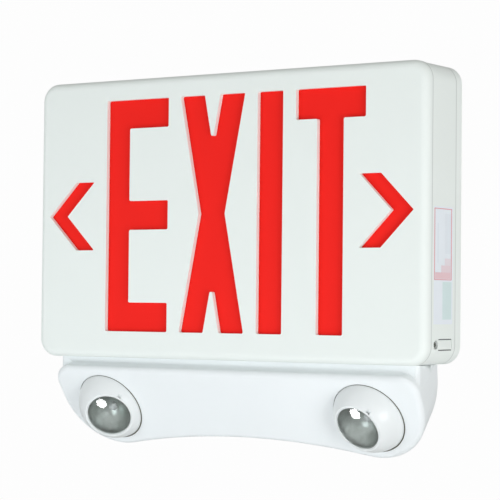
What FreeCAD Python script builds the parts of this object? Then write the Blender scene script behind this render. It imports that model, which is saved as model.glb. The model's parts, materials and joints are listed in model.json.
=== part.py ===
import FreeCAD
import Part
import math
import os

# Wall-mounted emergency exit light with a two-lamp bar under the sign.
#
# Millimetres.  X runs to the right, Y runs back to the wall and Z runs up.  The
# origin is on the wall plane (Y = 0) at the middle of the sign housing's back, so
# the whole light stands at negative Y.  The sign is a three-part moulded box: a
# stencil face plate, a frame and a back plate.  The lamp bar hangs under it, and
# its front leans back.  Two ball lamps sit in round sockets in that front.  Each
# ball tilts on two trunnion pins in a ring, and the ring swivels in its socket.

V = FreeCAD.Vector

# Sign box
SIGN_WIDTH = 298.0
SIGN_HEIGHT = 183.7
SIGN_DEPTH = 44.3
SIGN_CORNER_R = 12.0
FACE_EDGE_R = 5.0
FACE_SKIRT = 9.0
FACE_WALL = 3.0
SHELL_WALL = 2.2
BACK_DEPTH = 7.3
SIDE_STEP = 0.35
TONGUE_LENGTH = 2.5
TONGUE_THICKNESS = 1.2
TONGUE_GAP = 0.2

# Legend cut through the face plate
LETTER_HEIGHT = 152.4
LETTER_WIDTH = 50.3
STROKE = 19.05
LETTER_GAP = 9.5
LETTER_CORNER_R = 1.1
LEGEND_SHIFT_X = 7.3
LEGEND_RAISE = 1.7
X_WAIST = 20.2
CHEVRON_TIP_X = 140.0
CHEVRON_HALF_HEIGHT = 22.7
CHEVRON_ARM = 15.3
CHEVRON_CORNER_R = 0.4

# Lens and light chamber
LENS_GAP = 0.2
LENS_THICKNESS = 1.6
LENS_MARGIN = 5.5
CHAMBER_HALF_WIDTH = 142.0
CHAMBER_HALF_HEIGHT = 81.0
CHAMBER_WALL = 1.2
CHAMBER_BACK = 20.0
CHAMBER_NOTCH_WIDTH = 14.0
CHAMBER_NOTCH_HEIGHT = 14.0
CHAMBER_CORNER_R = 3.0
STRIP_LENGTH = 240.0
STRIP_WIDTH = 10.0
STRIP_THICKNESS = 1.0
STRIP_SETBACK = 3.0
LED_COUNT = 14
LED_LENGTH = 3.5
LED_WIDTH = 2.8
LED_HEIGHT = 0.7

# Wall fixing: junction box screws and the supply cable's entry
FIXING_Z = 38.0
BOX_SCREW_SPACING = 88.9
BOX_SCREW_HOLE_R = 2.4
CABLE_ENTRY_R = 11.1

# Electronics on the back plate
POST_R = 3.5
POST_X = 128.0
POST_Z = 60.0
SCREW_SHANK_R = 1.3
SCREW_PILOT_GAP = 0.1
SCREW_HEAD_R = 2.8
SCREW_HEAD_H = 1.9
SCREW_LENGTH = 8.0
BOARD_THICKNESS = 1.6
BOARD_X = 76.0
BOARD_Z = -50.0
BOARD_WIDTH = 92.0
BOARD_HEIGHT = 56.0
BOARD_CORNER_R = 2.0
BOARD_HOLE_INSET = 4.5
STANDOFF_HEIGHT = 3.0
TRANSFORMER_SIZE = 26.0
TRANSFORMER_HEIGHT = 11.5
CAPACITOR_R = 4.0
CAPACITOR_LENGTH = 16.0
CELL_R = 7.25
CELL_LENGTH = 50.0
CELL_COUNT = 3
CELL_PITCH = 14.3
BATTERY_X = -72.0
BATTERY_Z = -45.0
STRAP_THICKNESS = 0.8
STRAP_WIDTH = 14.0
STRAP_FOOT = 9.0

# Test button and charge lamp on the right side
TEST_Z = -79.15
BUTTON_Y = -19.9
BUTTON_WIDTH = 17.0
BUTTON_HEIGHT = 6.1
BUTTON_GAP = 0.35
BUTTON_TRAVEL = 1.2
BUTTON_LIP = 1.6
BUTTON_LIP_THICKNESS = 1.2
BUTTON_CORNER_R = 0.8
BUTTON_STEM_R = 1.8
SWITCH_SIZE = 6.0
SWITCH_HEIGHT = 3.4
PLUNGER_R = 1.6
PLUNGER_GAP = 0.1
TEST_BOARD_X = 134.0
TEST_BOARD_WIDTH = 24.0
TEST_BOARD_HEIGHT = 17.0
PILOT_Y = -31.5
PILOT_R = 2.5
PILOT_GAP = 0.2
PILOT_LENGTH = 8.6
PILOT_LEAD_R = 0.25
LABEL_THICKNESS = 0.15
LABEL_WIDTH = 23.0
LABEL_HEIGHT = 71.0
LABEL_Y = -21.8
LABEL_Z = -32.0

# Lamp bar.  Its front is a plane that leans back by LEAN from upright.
LEAN = 30.5
BALL_TO_WALL = 20.8
BALL_BELOW_SIGN = 29.6
LAMP_SPACING = 200.0
FRONT_AHEAD_OF_BALL = 7.0
BAR_WALL = 2.2
BAR_EDGE_R = 3.6
BAR_TOP_RISE = 31.7
BAR_CORNER_R = 13.0
BAR_SIDE_LEAN = 3.6
BAR_DRAFT = 10.0
BAR_DEPTH = 46.0
LOBE_X = 99.4
LOBE_RISE = 8.5
LOBE_R = 40.0
ARCH_DROP = 21.8
NECK_HALF_WIDTH = 132.2
NECK_DRAFT = 10.5
NECK_DEPTH = 33.0
NECK_DROP = 15.5
NECK_EDGE_R = 2.5
BAR_BACK_THICKNESS = 1.5
BAR_BACK_GAP = 0.25
BAR_SCREW_X = 60.0
BAR_SCREW_Y = -22.0
BAR_BOSS_R = 3.4
BAR_BOSS_HEIGHT = 9.0
BUSHING_R = 5.5
BUSHING_BORE_R = 3.5
BUSHING_FLANGE_R = 7.5
BUSHING_FLANGE = 1.2

# Ball lamps, measured along each lamp's own axis from the ball's centre
BALL_R = 25.0
BALL_WALL = 1.6
BALL_GAP = 0.35
BALL_REAR = 2.2
BALL_FRONT = 19.0
LEFT_TILT = 19.0
RIGHT_TILT = -5.5
RING_WALL = 1.7
RING_FRONT = 4.5
RING_REAR = 3.5
RING_GAP = 0.3
COLLAR_WALL = 2.9
TRUNNION_R = 1.4
TRUNNION_GAP = 0.05
TRUNNION_LENGTH = 1.6
RETAINER_THICKNESS = 1.0
RETAINER_EAR_R = 3.2
RETAINER_EAR_AT = 31.0
RETAINER_EAR_ANGLE = 47.0
LENS_R = 15.3
LENS_DISC_THICKNESS = 1.6
LENS_RECESS = 0.3
LENS_CLEARANCE = 0.1
LUG_WIDTH = 2.2
LUG_REACH = 0.7
LUG_ANGLE = 48.0
SLEEVE_WALL = 1.4
SLEEVE_DEPTH = 8.0
REFLECTOR_WALL = 0.8
REFLECTOR_THROAT_R = 3.6
REFLECTOR_DEPTH = 11.0
LAMP_BOARD_R = 9.0
LAMP_BOARD_THICKNESS = 1.6
LAMP_CHIP_R = 2.4
LAMP_CHIP_HEIGHT = 1.3
CAP_THICKNESS = 1.6

# Places worked out from the sizes above
HALF_WIDTH = SIGN_WIDTH / 2
HALF_HEIGHT = SIGN_HEIGHT / 2
FRONT_Y = -SIGN_DEPTH
SEAM_Y = FRONT_Y + FACE_SKIRT
REAR_SEAM_Y = -BACK_DEPTH
BACK_INNER_Y = -SHELL_WALL
LENS_FRONT_Y = FRONT_Y + FACE_WALL + LENS_GAP
LENS_BACK_Y = LENS_FRONT_Y + LENS_THICKNESS
CHAMBER_RIM_Y = LENS_BACK_Y + LENS_GAP
CHAMBER_BACK_Y = -CHAMBER_BACK
SIDE_X = HALF_WIDTH - SIDE_STEP
LINING = SHELL_WALL + SIDE_STEP
TONGUE_OUT = LINING + TONGUE_GAP
TONGUE_IN = TONGUE_OUT + TONGUE_THICKNESS
BAR_TOP_Z = -HALF_HEIGHT
BALL_Y = -BALL_TO_WALL
BALL_Z = BAR_TOP_Z - BALL_BELOW_SIGN
LEAN_COS = math.cos(math.radians(LEAN))
LEAN_SIN = math.sin(math.radians(LEAN))
ACROSS = V(1, 0, 0)
UP_SLOPE = V(0, -LEAN_SIN, LEAN_COS)
OUTWARD = V(0, -LEAN_COS, -LEAN_SIN)
RING_BORE_R = BALL_R + RING_GAP
RING_R = RING_BORE_R + RING_WALL
COLLAR_BORE_R = RING_R + RING_GAP
COLLAR_R = COLLAR_BORE_R + COLLAR_WALL
COLLAR_END = RING_REAR + RING_GAP
RETAINER_INNER_R = math.sqrt((BALL_R + BALL_GAP) ** 2 - COLLAR_END ** 2)
RETAINER_OUTER_R = COLLAR_BORE_R - RING_GAP / 2


# Small helpers

def front_view(y):
    """Return a function that puts a front-view point on the plane at y."""
    return lambda u, w: V(u, y, w)


def side_view(x):
    """Return a function that puts a (y, z) point on the plane at x."""
    return lambda u, w: V(x, u, w)


def slope_view(ahead):
    """Return a function that puts a point on the lamp bar's leaning plane."""
    base = V(0, BALL_Y, BALL_Z) + OUTWARD * ahead
    return lambda u, w: base + ACROSS * u + UP_SLOPE * w


def arc(place, start, middle, end):
    return Part.Arc(place(*start), place(*middle), place(*end)).toShape()


def line(place, start, end):
    return Part.LineSegment(place(*start), place(*end)).toShape()


def rounded_wire(corners, radius, place):
    """Closed outline through corners, each corner rounded by radius."""
    cuts = []
    count = len(corners)
    for index in range(count):
        here = corners[index]
        before = corners[index - 1]
        after = corners[(index + 1) % count]
        in_length = math.dist(before, here)
        out_length = math.dist(here, after)
        back = ((before[0] - here[0]) / in_length, (before[1] - here[1]) / in_length)
        on = ((after[0] - here[0]) / out_length, (after[1] - here[1]) / out_length)
        half = math.acos(max(-1.0, min(1.0, back[0] * on[0] + back[1] * on[1]))) / 2
        reach = min(radius / math.tan(half), in_length / 2.01, out_length / 2.01)
        used = reach * math.tan(half)
        bisector = (back[0] + on[0], back[1] + on[1])
        size = math.hypot(*bisector)
        depth = used / math.sin(half) - used
        start = (here[0] + back[0] * reach, here[1] + back[1] * reach)
        end = (here[0] + on[0] * reach, here[1] + on[1] * reach)
        middle = (here[0] + bisector[0] / size * depth, here[1] + bisector[1] / size * depth)
        cuts.append((start, middle, end))
    edges = []
    for index in range(count):
        start, middle, end = cuts[index]
        edges.append(arc(place, start, middle, end))
        following = cuts[(index + 1) % count][0]
        if math.dist(end, following) > 1e-4:
            edges.append(line(place, end, following))
    return Part.Wire(edges)


def prism(wire, direction):
    return Part.Face(wire).extrude(direction)


def rounded_block(y0, y1, inset):
    """Rounded rectangle of the sign's outline, drawn in by inset, from y0 to y1."""
    half_w = HALF_WIDTH - inset
    half_h = HALF_HEIGHT - inset
    corners = [(-half_w, -half_h), (half_w, -half_h), (half_w, half_h), (-half_w, half_h)]
    wire = rounded_wire(corners, SIGN_CORNER_R - inset, front_view(y0))
    return prism(wire, V(0, y1 - y0, 0))


def box_between(x0, x1, y0, y1, z0, z1):
    return Part.makeBox(x1 - x0, y1 - y0, z1 - z0, V(x0, y0, z0))


def rod(radius, start, direction, length):
    return Part.makeCylinder(radius, length, start, direction)


def screw(seat, direction, length):
    """Pan-head screw whose head sits on seat and whose shank runs along direction."""
    head = rod(SCREW_HEAD_R, seat - direction * SCREW_HEAD_H, direction, SCREW_HEAD_H)
    rim = [edge for edge in head.Edges if edge.Closed]
    rim.sort(key=lambda edge: edge.CenterOfMass.dot(direction))
    head = head.makeFillet(SCREW_HEAD_H * 0.5, rim[:1])
    slot_size = SCREW_HEAD_H * 0.5
    slot = Part.makeBox(SCREW_HEAD_R * 1.2, slot_size, slot_size)
    slot.translate(V(-SCREW_HEAD_R * 0.6, -slot_size / 2, -slot_size / 2))
    cross = slot.fuse(slot.rotated(V(0, 0, 0), V(0, 0, 1), 90))
    cross.Placement = FreeCAD.Placement(seat - direction * SCREW_HEAD_H,
                                        FreeCAD.Rotation(V(0, 0, 1), direction))
    shank = rod(SCREW_SHANK_R, seat, direction, length)
    return head.cut(cross).fuse(shank).removeSplitter()


def pilot_hole(seat, direction, length):
    return rod(SCREW_SHANK_R + SCREW_PILOT_GAP, seat, direction, length)


def symmetric_pairs(x, z):
    return [(-x, -z), (x, -z), (x, z), (-x, z)]


# Legend

def letter_e():
    half = LETTER_WIDTH / 2
    top = LETTER_HEIGHT / 2
    arm = STROKE / 2
    inner = -half + STROKE
    return [(-half, -top), (half, -top), (half, -top + STROKE), (inner, -top + STROKE),
            (inner, -arm), (half, -arm), (half, arm), (inner, arm),
            (inner, top - STROKE), (half, top - STROKE), (half, top), (-half, top)]


def letter_x():
    half = LETTER_WIDTH / 2
    top = LETTER_HEIGHT / 2
    waist = X_WAIST / 2
    leg = half - STROKE
    notch = top - leg * top / (half - waist)
    return [(-half, -top), (-leg, -top), (0, -notch), (leg, -top), (half, -top), (waist, 0),
            (half, top), (leg, top), (0, notch), (-leg, top), (-half, top), (-waist, 0)]


def letter_i():
    half = STROKE / 2
    top = LETTER_HEIGHT / 2
    return [(-half, -top), (half, -top), (half, top), (-half, top)]


def letter_t():
    half = LETTER_WIDTH / 2
    top = LETTER_HEIGHT / 2
    stem = STROKE / 2
    return [(-stem, -top), (stem, -top), (stem, top - STROKE), (half, top - STROKE),
            (half, top), (-half, top), (-half, top - STROKE), (-stem, top - STROKE)]


def chevron(side):
    """Arrowhead outline that points away from the middle; side is -1 or 1."""
    tip = CHEVRON_TIP_X
    rise = CHEVRON_HALF_HEIGHT
    shape = [(tip, 0), (tip - rise, rise), (tip - rise - CHEVRON_ARM, rise),
             (tip - CHEVRON_ARM, 0), (tip - rise - CHEVRON_ARM, -rise), (tip - rise, -rise)]
    return [(side * u, w) for u, w in shape]


def legend_cuts():
    """Solids that cut the four letters and two chevrons through the face."""
    letters = [(letter_e(), LETTER_WIDTH), (letter_x(), LETTER_WIDTH),
               (letter_i(), STROKE), (letter_t(), LETTER_WIDTH)]
    total = sum(width for _, width in letters) + LETTER_GAP * (len(letters) - 1)
    left = LEGEND_SHIFT_X - total / 2
    place = front_view(FRONT_Y - 1)
    depth = V(0, FACE_WALL + 2, 0)
    cuts = []
    for outline, width in letters:
        middle = left + width / 2
        corners = [(u + middle, w + LEGEND_RAISE) for u, w in outline]
        cuts.append(prism(rounded_wire(corners, LETTER_CORNER_R, place), depth))
        left += width + LETTER_GAP
    for side in (-1, 1):
        corners = [(u, w + LEGEND_RAISE) for u, w in chevron(side)]
        cuts.append(prism(rounded_wire(corners, CHEVRON_CORNER_R, place), depth))
    return cuts


# Sign box

def face_plate():
    outer = rounded_block(FRONT_Y, SEAM_Y, 0)
    rim = [edge for edge in outer.Edges if edge.BoundBox.YMax < FRONT_Y + 0.01]
    outer = outer.makeFillet(FACE_EDGE_R, rim)
    hollow = rounded_block(FRONT_Y + FACE_WALL, SEAM_Y, LINING)
    hollow_rim = [edge for edge in hollow.Edges
                  if edge.BoundBox.YMax < FRONT_Y + FACE_WALL + 0.01]
    hollow = hollow.makeFillet(FACE_EDGE_R - LINING, hollow_rim)
    plate = outer.cut(hollow)
    for cut in legend_cuts():
        plate = plate.cut(cut)
    return plate


def frame():
    walls = rounded_block(SEAM_Y, REAR_SEAM_Y, SIDE_STEP)
    walls = walls.cut(rounded_block(SEAM_Y, REAR_SEAM_Y, LINING))
    tongues = []
    for seam, direction in ((SEAM_Y, -1), (REAR_SEAM_Y, 1)):
        near = seam - direction * TONGUE_LENGTH
        tip = seam + direction * TONGUE_LENGTH
        low = min(near, tip)
        high = max(near, tip)
        ledge = rounded_block(min(near, seam), max(near, seam), LINING - TONGUE_GAP)
        lip = rounded_block(low, high, TONGUE_OUT)
        tongues.append(ledge.fuse(lip).cut(rounded_block(low, high, TONGUE_IN)))
    body = walls.fuse(tongues)
    for x in (-BAR_SCREW_X, BAR_SCREW_X):
        foot = V(x, BAR_SCREW_Y, BAR_TOP_Z + SIDE_STEP)
        body = body.fuse(rod(BAR_BOSS_R, foot, V(0, 0, 1), BAR_BOSS_HEIGHT))
    body = body.cut(bar_screw_holes())
    body = body.cut(bushing_hole())
    body = body.cut(button_solid(BUTTON_GAP, SIDE_X + 1))
    pilot = V(HALF_WIDTH - TONGUE_IN - 1, PILOT_Y, TEST_Z)
    body = body.cut(rod(PILOT_R + PILOT_GAP, pilot, ACROSS, TONGUE_IN + 2))
    return body.fuse(test_board_rails()).removeSplitter()


def test_board_rails():
    """Two ribs on the floor of the frame that hold the test board between them."""
    floor = BAR_TOP_Z + LINING
    rail = 1.5
    height = 4.0
    rails = []
    for x in (TEST_BOARD_X - rail, TEST_BOARD_X + BOARD_THICKNESS):
        rails.append(box_between(x, x + rail, BUTTON_Y - TEST_BOARD_WIDTH / 4,
                                 BUTTON_Y + TEST_BOARD_WIDTH / 4, floor - 1, floor + height))
    return rails


def back_plate():
    tray = rounded_block(REAR_SEAM_Y, 0, SIDE_STEP)
    tray = tray.cut(rounded_block(REAR_SEAM_Y, BACK_INNER_Y, LINING))
    for x, z in symmetric_pairs(POST_X, POST_Z):
        length = CHAMBER_BACK - SHELL_WALL
        foot = V(x, BACK_INNER_Y, z)
        tray = tray.fuse(rod(POST_R, foot, V(0, -1, 0), length))
        tray = tray.cut(pilot_hole(V(x, CHAMBER_BACK_Y, z), V(0, 1, 0), SCREW_LENGTH))
    for x, z in board_holes():
        foot = V(x, BACK_INNER_Y, z)
        tray = tray.fuse(rod(POST_R, foot, V(0, -1, 0), STANDOFF_HEIGHT))
        tray = tray.cut(pilot_hole(V(x, BACK_INNER_Y - STANDOFF_HEIGHT, z), V(0, 1, 0),
                                   STANDOFF_HEIGHT + SHELL_WALL / 2))
    for z in strap_screw_z():
        foot = V(BATTERY_X, BACK_INNER_Y, z)
        tray = tray.fuse(rod(POST_R, foot, V(0, -1, 0), STANDOFF_HEIGHT))
        tray = tray.cut(pilot_hole(V(BATTERY_X, BACK_INNER_Y - STANDOFF_HEIGHT, z), V(0, 1, 0),
                                   STANDOFF_HEIGHT + SHELL_WALL / 2))
    tray = tray.fuse(battery_stops())
    entry = V(0, BACK_INNER_Y - 1, FIXING_Z)
    tray = tray.cut(rod(CABLE_ENTRY_R, entry, V(0, 1, 0), SHELL_WALL + 2))
    for x in (-BOX_SCREW_SPACING / 2, BOX_SCREW_SPACING / 2):
        start = V(x, BACK_INNER_Y - 1, FIXING_Z)
        tray = tray.cut(rod(BOX_SCREW_HOLE_R, start, V(0, 1, 0), SHELL_WALL + 2))
    return tray.removeSplitter()


def lens_panel():
    half_w = HALF_WIDTH - LENS_MARGIN
    half_h = HALF_HEIGHT - LENS_MARGIN
    corners = [(-half_w, -half_h), (half_w, -half_h), (half_w, half_h), (-half_w, half_h)]
    wire = rounded_wire(corners, SIGN_CORNER_R - LENS_MARGIN, front_view(LENS_FRONT_Y))
    return prism(wire, V(0, LENS_THICKNESS, 0))


def chamber_outline(inset, place):
    """Light chamber outline, notched at the lower right for the test board."""
    w = CHAMBER_HALF_WIDTH - inset
    h = CHAMBER_HALF_HEIGHT - inset
    notch_x = CHAMBER_HALF_WIDTH - CHAMBER_NOTCH_WIDTH - inset
    notch_z = -CHAMBER_HALF_HEIGHT + CHAMBER_NOTCH_HEIGHT + inset
    corners = [(-w, -h), (notch_x, -h), (notch_x, notch_z), (w, notch_z), (w, h), (-w, h)]
    return rounded_wire(corners, CHAMBER_CORNER_R - inset, place)


def light_chamber():
    length = CHAMBER_BACK_Y - CHAMBER_RIM_Y
    tray = prism(chamber_outline(0, front_view(CHAMBER_RIM_Y)), V(0, length, 0))
    hollow = prism(chamber_outline(CHAMBER_WALL, front_view(CHAMBER_RIM_Y)),
                   V(0, length - CHAMBER_WALL, 0))
    tray = tray.cut(hollow)
    for x, z in symmetric_pairs(POST_X, POST_Z):
        start = V(x, CHAMBER_BACK_Y - CHAMBER_WALL - 1, z)
        tray = tray.cut(pilot_hole(start, V(0, 1, 0), CHAMBER_WALL + 2))
    return tray


def chamber_screws():
    seats = [V(x, CHAMBER_BACK_Y - CHAMBER_WALL, z) for x, z in symmetric_pairs(POST_X, POST_Z)]
    return [screw(seat, V(0, 1, 0), SCREW_LENGTH) for seat in seats]


def led_strip(side):
    """Narrow LED board on the chamber's top (side 1) or bottom (side -1) wall."""
    wall_z = side * (CHAMBER_HALF_HEIGHT - CHAMBER_WALL)
    inner_z = wall_z - side * STRIP_THICKNESS
    y0 = CHAMBER_RIM_Y + STRIP_SETBACK
    half = STRIP_LENGTH / 2
    board = box_between(-half, half, y0, y0 + STRIP_WIDTH, min(wall_z, inner_z),
                        max(wall_z, inner_z))
    chips = []
    pitch = STRIP_LENGTH / LED_COUNT
    chip_y = y0 + (STRIP_WIDTH - LED_WIDTH) / 2
    tip_z = inner_z - side * LED_HEIGHT
    for index in range(LED_COUNT):
        x = -half + pitch * (index + 0.5)
        chips.append(box_between(x - LED_LENGTH / 2, x + LED_LENGTH / 2, chip_y,
                                 chip_y + LED_WIDTH, min(inner_z, tip_z), max(inner_z, tip_z)))
    return board, chips


# Electronics

def board_holes():
    x = BOARD_WIDTH / 2 - BOARD_HOLE_INSET
    z = BOARD_HEIGHT / 2 - BOARD_HOLE_INSET
    return [(BOARD_X + u, BOARD_Z + w) for u, w in symmetric_pairs(x, z)]


def board_back_y():
    return BACK_INNER_Y - STANDOFF_HEIGHT


def control_board():
    half_w = BOARD_WIDTH / 2
    half_h = BOARD_HEIGHT / 2
    corners = [(BOARD_X + u, BOARD_Z + w) for u, w in
               ((-half_w, -half_h), (half_w, -half_h), (half_w, half_h), (-half_w, half_h))]
    wire = rounded_wire(corners, BOARD_CORNER_R, front_view(board_back_y()))
    board = prism(wire, V(0, -BOARD_THICKNESS, 0))
    for x, z in board_holes():
        board = board.cut(pilot_hole(V(x, board_back_y() + 1, z), V(0, -1, 0),
                                     BOARD_THICKNESS + 2))
    return board


def control_board_screws():
    seat_y = board_back_y() - BOARD_THICKNESS
    return [screw(V(x, seat_y, z), V(0, 1, 0), BOARD_THICKNESS + STANDOFF_HEIGHT)
            for x, z in board_holes()]


def transformer():
    front = board_back_y() - BOARD_THICKNESS
    half = TRANSFORMER_SIZE / 2
    x = BOARD_X - BOARD_WIDTH / 2 + BOARD_HOLE_INSET * 2 + half
    core = box_between(x - half, x + half, front - TRANSFORMER_HEIGHT, front,
                       BOARD_Z - half * 0.8, BOARD_Z + half * 0.8)
    core = core.makeFillet(BUTTON_CORNER_R, [e for e in core.Edges if e.BoundBox.YLength > 1])
    coil = box_between(x - half * 0.55, x + half * 0.55, front - TRANSFORMER_HEIGHT * 0.85, front,
                       BOARD_Z - half, BOARD_Z + half)
    return core.fuse(coil).removeSplitter()


def capacitors():
    front = board_back_y() - BOARD_THICKNESS
    parts = []
    for index in range(2):
        x = BOARD_X + 10 + index * CAPACITOR_R * 3
        can = rod(CAPACITOR_R, V(x, front - CAPACITOR_R, BOARD_Z - CAPACITOR_LENGTH / 2),
                  V(0, 0, 1), CAPACITOR_LENGTH)
        parts.append(can.makeFillet(CAPACITOR_R * 0.2, [e for e in can.Edges if e.Closed]))
    return parts


def cell_line_y():
    return BACK_INNER_Y - CELL_R


def battery_pack():
    cells = []
    left = BATTERY_X - CELL_LENGTH / 2
    offset = (CELL_COUNT - 1) / 2
    for index in range(CELL_COUNT):
        z = BATTERY_Z + (index - offset) * CELL_PITCH
        cells.append(rod(CELL_R, V(left, cell_line_y(), z), ACROSS, CELL_LENGTH))
    height = (CELL_COUNT - 1) * CELL_PITCH
    web = box_between(left, left + CELL_LENGTH, cell_line_y() - CELL_R * 0.8,
                      cell_line_y() + CELL_R * 0.8, BATTERY_Z - height / 2,
                      BATTERY_Z + height / 2)
    return web.fuse(cells).removeSplitter()


def battery_half_height():
    return (CELL_COUNT - 1) * CELL_PITCH / 2 + CELL_R


def battery_stops():
    """Upright ribs on the back plate at both ends of the battery pack."""
    rib = 1.6
    height = CELL_R
    end = CELL_LENGTH / 2 + TONGUE_GAP
    stops = []
    for x0 in (BATTERY_X - end - rib, BATTERY_X + end):
        stops.append(box_between(x0, x0 + rib, BACK_INNER_Y - height, BACK_INNER_Y,
                                 BATTERY_Z - battery_half_height() * 0.8,
                                 BATTERY_Z + battery_half_height() * 0.8))
    return stops


def strap_screw_z():
    reach = battery_half_height() + TONGUE_GAP + STRAP_THICKNESS + STRAP_FOOT / 2
    return (BATTERY_Z - reach, BATTERY_Z + reach)


def battery_strap():
    """Bent strip over the battery pack with a screwed foot at each end."""
    t = STRAP_THICKNESS
    base = BACK_INNER_Y - STANDOFF_HEIGHT
    top = cell_line_y() - CELL_R - TONGUE_GAP
    inner = battery_half_height() + TONGUE_GAP
    foot = inner + t + STRAP_FOOT
    half = [(base, foot), (base - t, foot), (base - t, inner + t), (top - t, inner + t)]
    under = [(base, inner), (top, inner)]
    corners = [(y, BATTERY_Z + z) for y, z in half]
    corners += [(y, BATTERY_Z - z) for y, z in reversed(half)]
    corners += [(y, BATTERY_Z - z) for y, z in under]
    corners += [(y, BATTERY_Z + z) for y, z in reversed(under)]
    wire = rounded_wire(corners, t * 0.4, side_view(BATTERY_X - STRAP_WIDTH / 2))
    strap = prism(wire, V(STRAP_WIDTH, 0, 0))
    for z in strap_screw_z():
        strap = strap.cut(pilot_hole(V(BATTERY_X, base + 1, z), V(0, -1, 0), t + 2))
    return strap


def battery_strap_screws():
    seat_y = BACK_INNER_Y - STANDOFF_HEIGHT - STRAP_THICKNESS
    return [screw(V(BATTERY_X, seat_y, z), V(0, 1, 0), STANDOFF_HEIGHT + STRAP_THICKNESS)
            for z in strap_screw_z()]


# Test button, switch, charge lamp and label

def button_solid(grow, outer_x):
    """Rounded oblong along X at the test button's place, grown all round by grow."""
    half_y = BUTTON_WIDTH / 2 + grow
    half_z = BUTTON_HEIGHT / 2 + grow
    corners = [(BUTTON_Y + u, TEST_Z + w) for u, w in
               ((-half_y, -half_z), (half_y, -half_z), (half_y, half_z), (-half_y, half_z))]
    start = SIDE_X - SHELL_WALL - 1
    wire = rounded_wire(corners, BUTTON_CORNER_R + grow, side_view(start))
    return prism(wire, V(outer_x - start, 0, 0))


def switch_front_x():
    return TEST_BOARD_X + BOARD_THICKNESS + SWITCH_HEIGHT


def plunger_tip_x():
    return switch_front_x() + BUTTON_TRAVEL + PLUNGER_GAP


def test_button():
    inner_x = SIDE_X - SHELL_WALL
    flange_front = inner_x - PLUNGER_GAP
    cap = button_solid(0, SIDE_X)
    half_y = BUTTON_WIDTH / 2
    half_z = BUTTON_HEIGHT / 2 + BUTTON_LIP
    back = flange_front - BUTTON_LIP_THICKNESS
    flange = box_between(back, flange_front, BUTTON_Y - half_y, BUTTON_Y + half_y,
                         TEST_Z - half_z, TEST_Z + half_z)
    flange = flange.common(rounded_block(SEAM_Y, REAR_SEAM_Y, LINING + PLUNGER_GAP))
    stem = rod(BUTTON_STEM_R, V(plunger_tip_x(), BUTTON_Y, TEST_Z), ACROSS,
               back - plunger_tip_x() + 0.5)
    rim = [edge for edge in cap.Edges if edge.BoundBox.XMin > SIDE_X - 0.01]
    cap = cap.makeFillet(BUTTON_CORNER_R / 2, rim)
    return cap.fuse([flange, stem]).removeSplitter()


def test_switch():
    x0 = TEST_BOARD_X + BOARD_THICKNESS
    half = SWITCH_SIZE / 2
    body = box_between(x0, switch_front_x(), BUTTON_Y - half, BUTTON_Y + half, TEST_Z - half,
                       TEST_Z + half)
    well = rod(PLUNGER_R + PLUNGER_GAP, V(x0 + SWITCH_HEIGHT / 4, BUTTON_Y, TEST_Z), ACROSS,
               SWITCH_HEIGHT)
    return body.cut(well)


def switch_plunger():
    depth = SWITCH_HEIGHT * 0.75 - BUTTON_TRAVEL - PLUNGER_GAP
    start = V(switch_front_x() - depth, BUTTON_Y, TEST_Z)
    return rod(PLUNGER_R, start, ACROSS, plunger_tip_x() - switch_front_x() + depth)


def test_board():
    floor = BAR_TOP_Z + TONGUE_IN
    front = PILOT_Y - PILOT_R
    return box_between(TEST_BOARD_X, TEST_BOARD_X + BOARD_THICKNESS, front,
                       front + TEST_BOARD_WIDTH, floor, floor + TEST_BOARD_HEIGHT)


def pilot_led():
    tip_x = SIDE_X - TONGUE_GAP
    base_x = tip_x - PILOT_LENGTH
    body = rod(PILOT_R, V(base_x, PILOT_Y, TEST_Z), ACROSS, PILOT_LENGTH - PILOT_R)
    dome = Part.makeSphere(PILOT_R, V(tip_x - PILOT_R, PILOT_Y, TEST_Z))
    board_face = TEST_BOARD_X + BOARD_THICKNESS
    leads = []
    for dz in (-PILOT_R / 2, PILOT_R / 2):
        leads.append(rod(PILOT_LEAD_R, V(board_face, PILOT_Y, TEST_Z + dz), ACROSS,
                         base_x - board_face + 0.5))
    return body.fuse([dome] + leads).removeSplitter()


def side_label():
    half_y = LABEL_WIDTH / 2
    half_z = LABEL_HEIGHT / 2
    corners = [(LABEL_Y + u, LABEL_Z + w) for u, w in
               ((-half_y, -half_z), (half_y, -half_z), (half_y, half_z), (-half_y, half_z))]
    return prism(rounded_wire(corners, 1.0, side_view(SIDE_X)), V(LABEL_THICKNESS, 0, 0))


# Lamp bar

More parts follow.
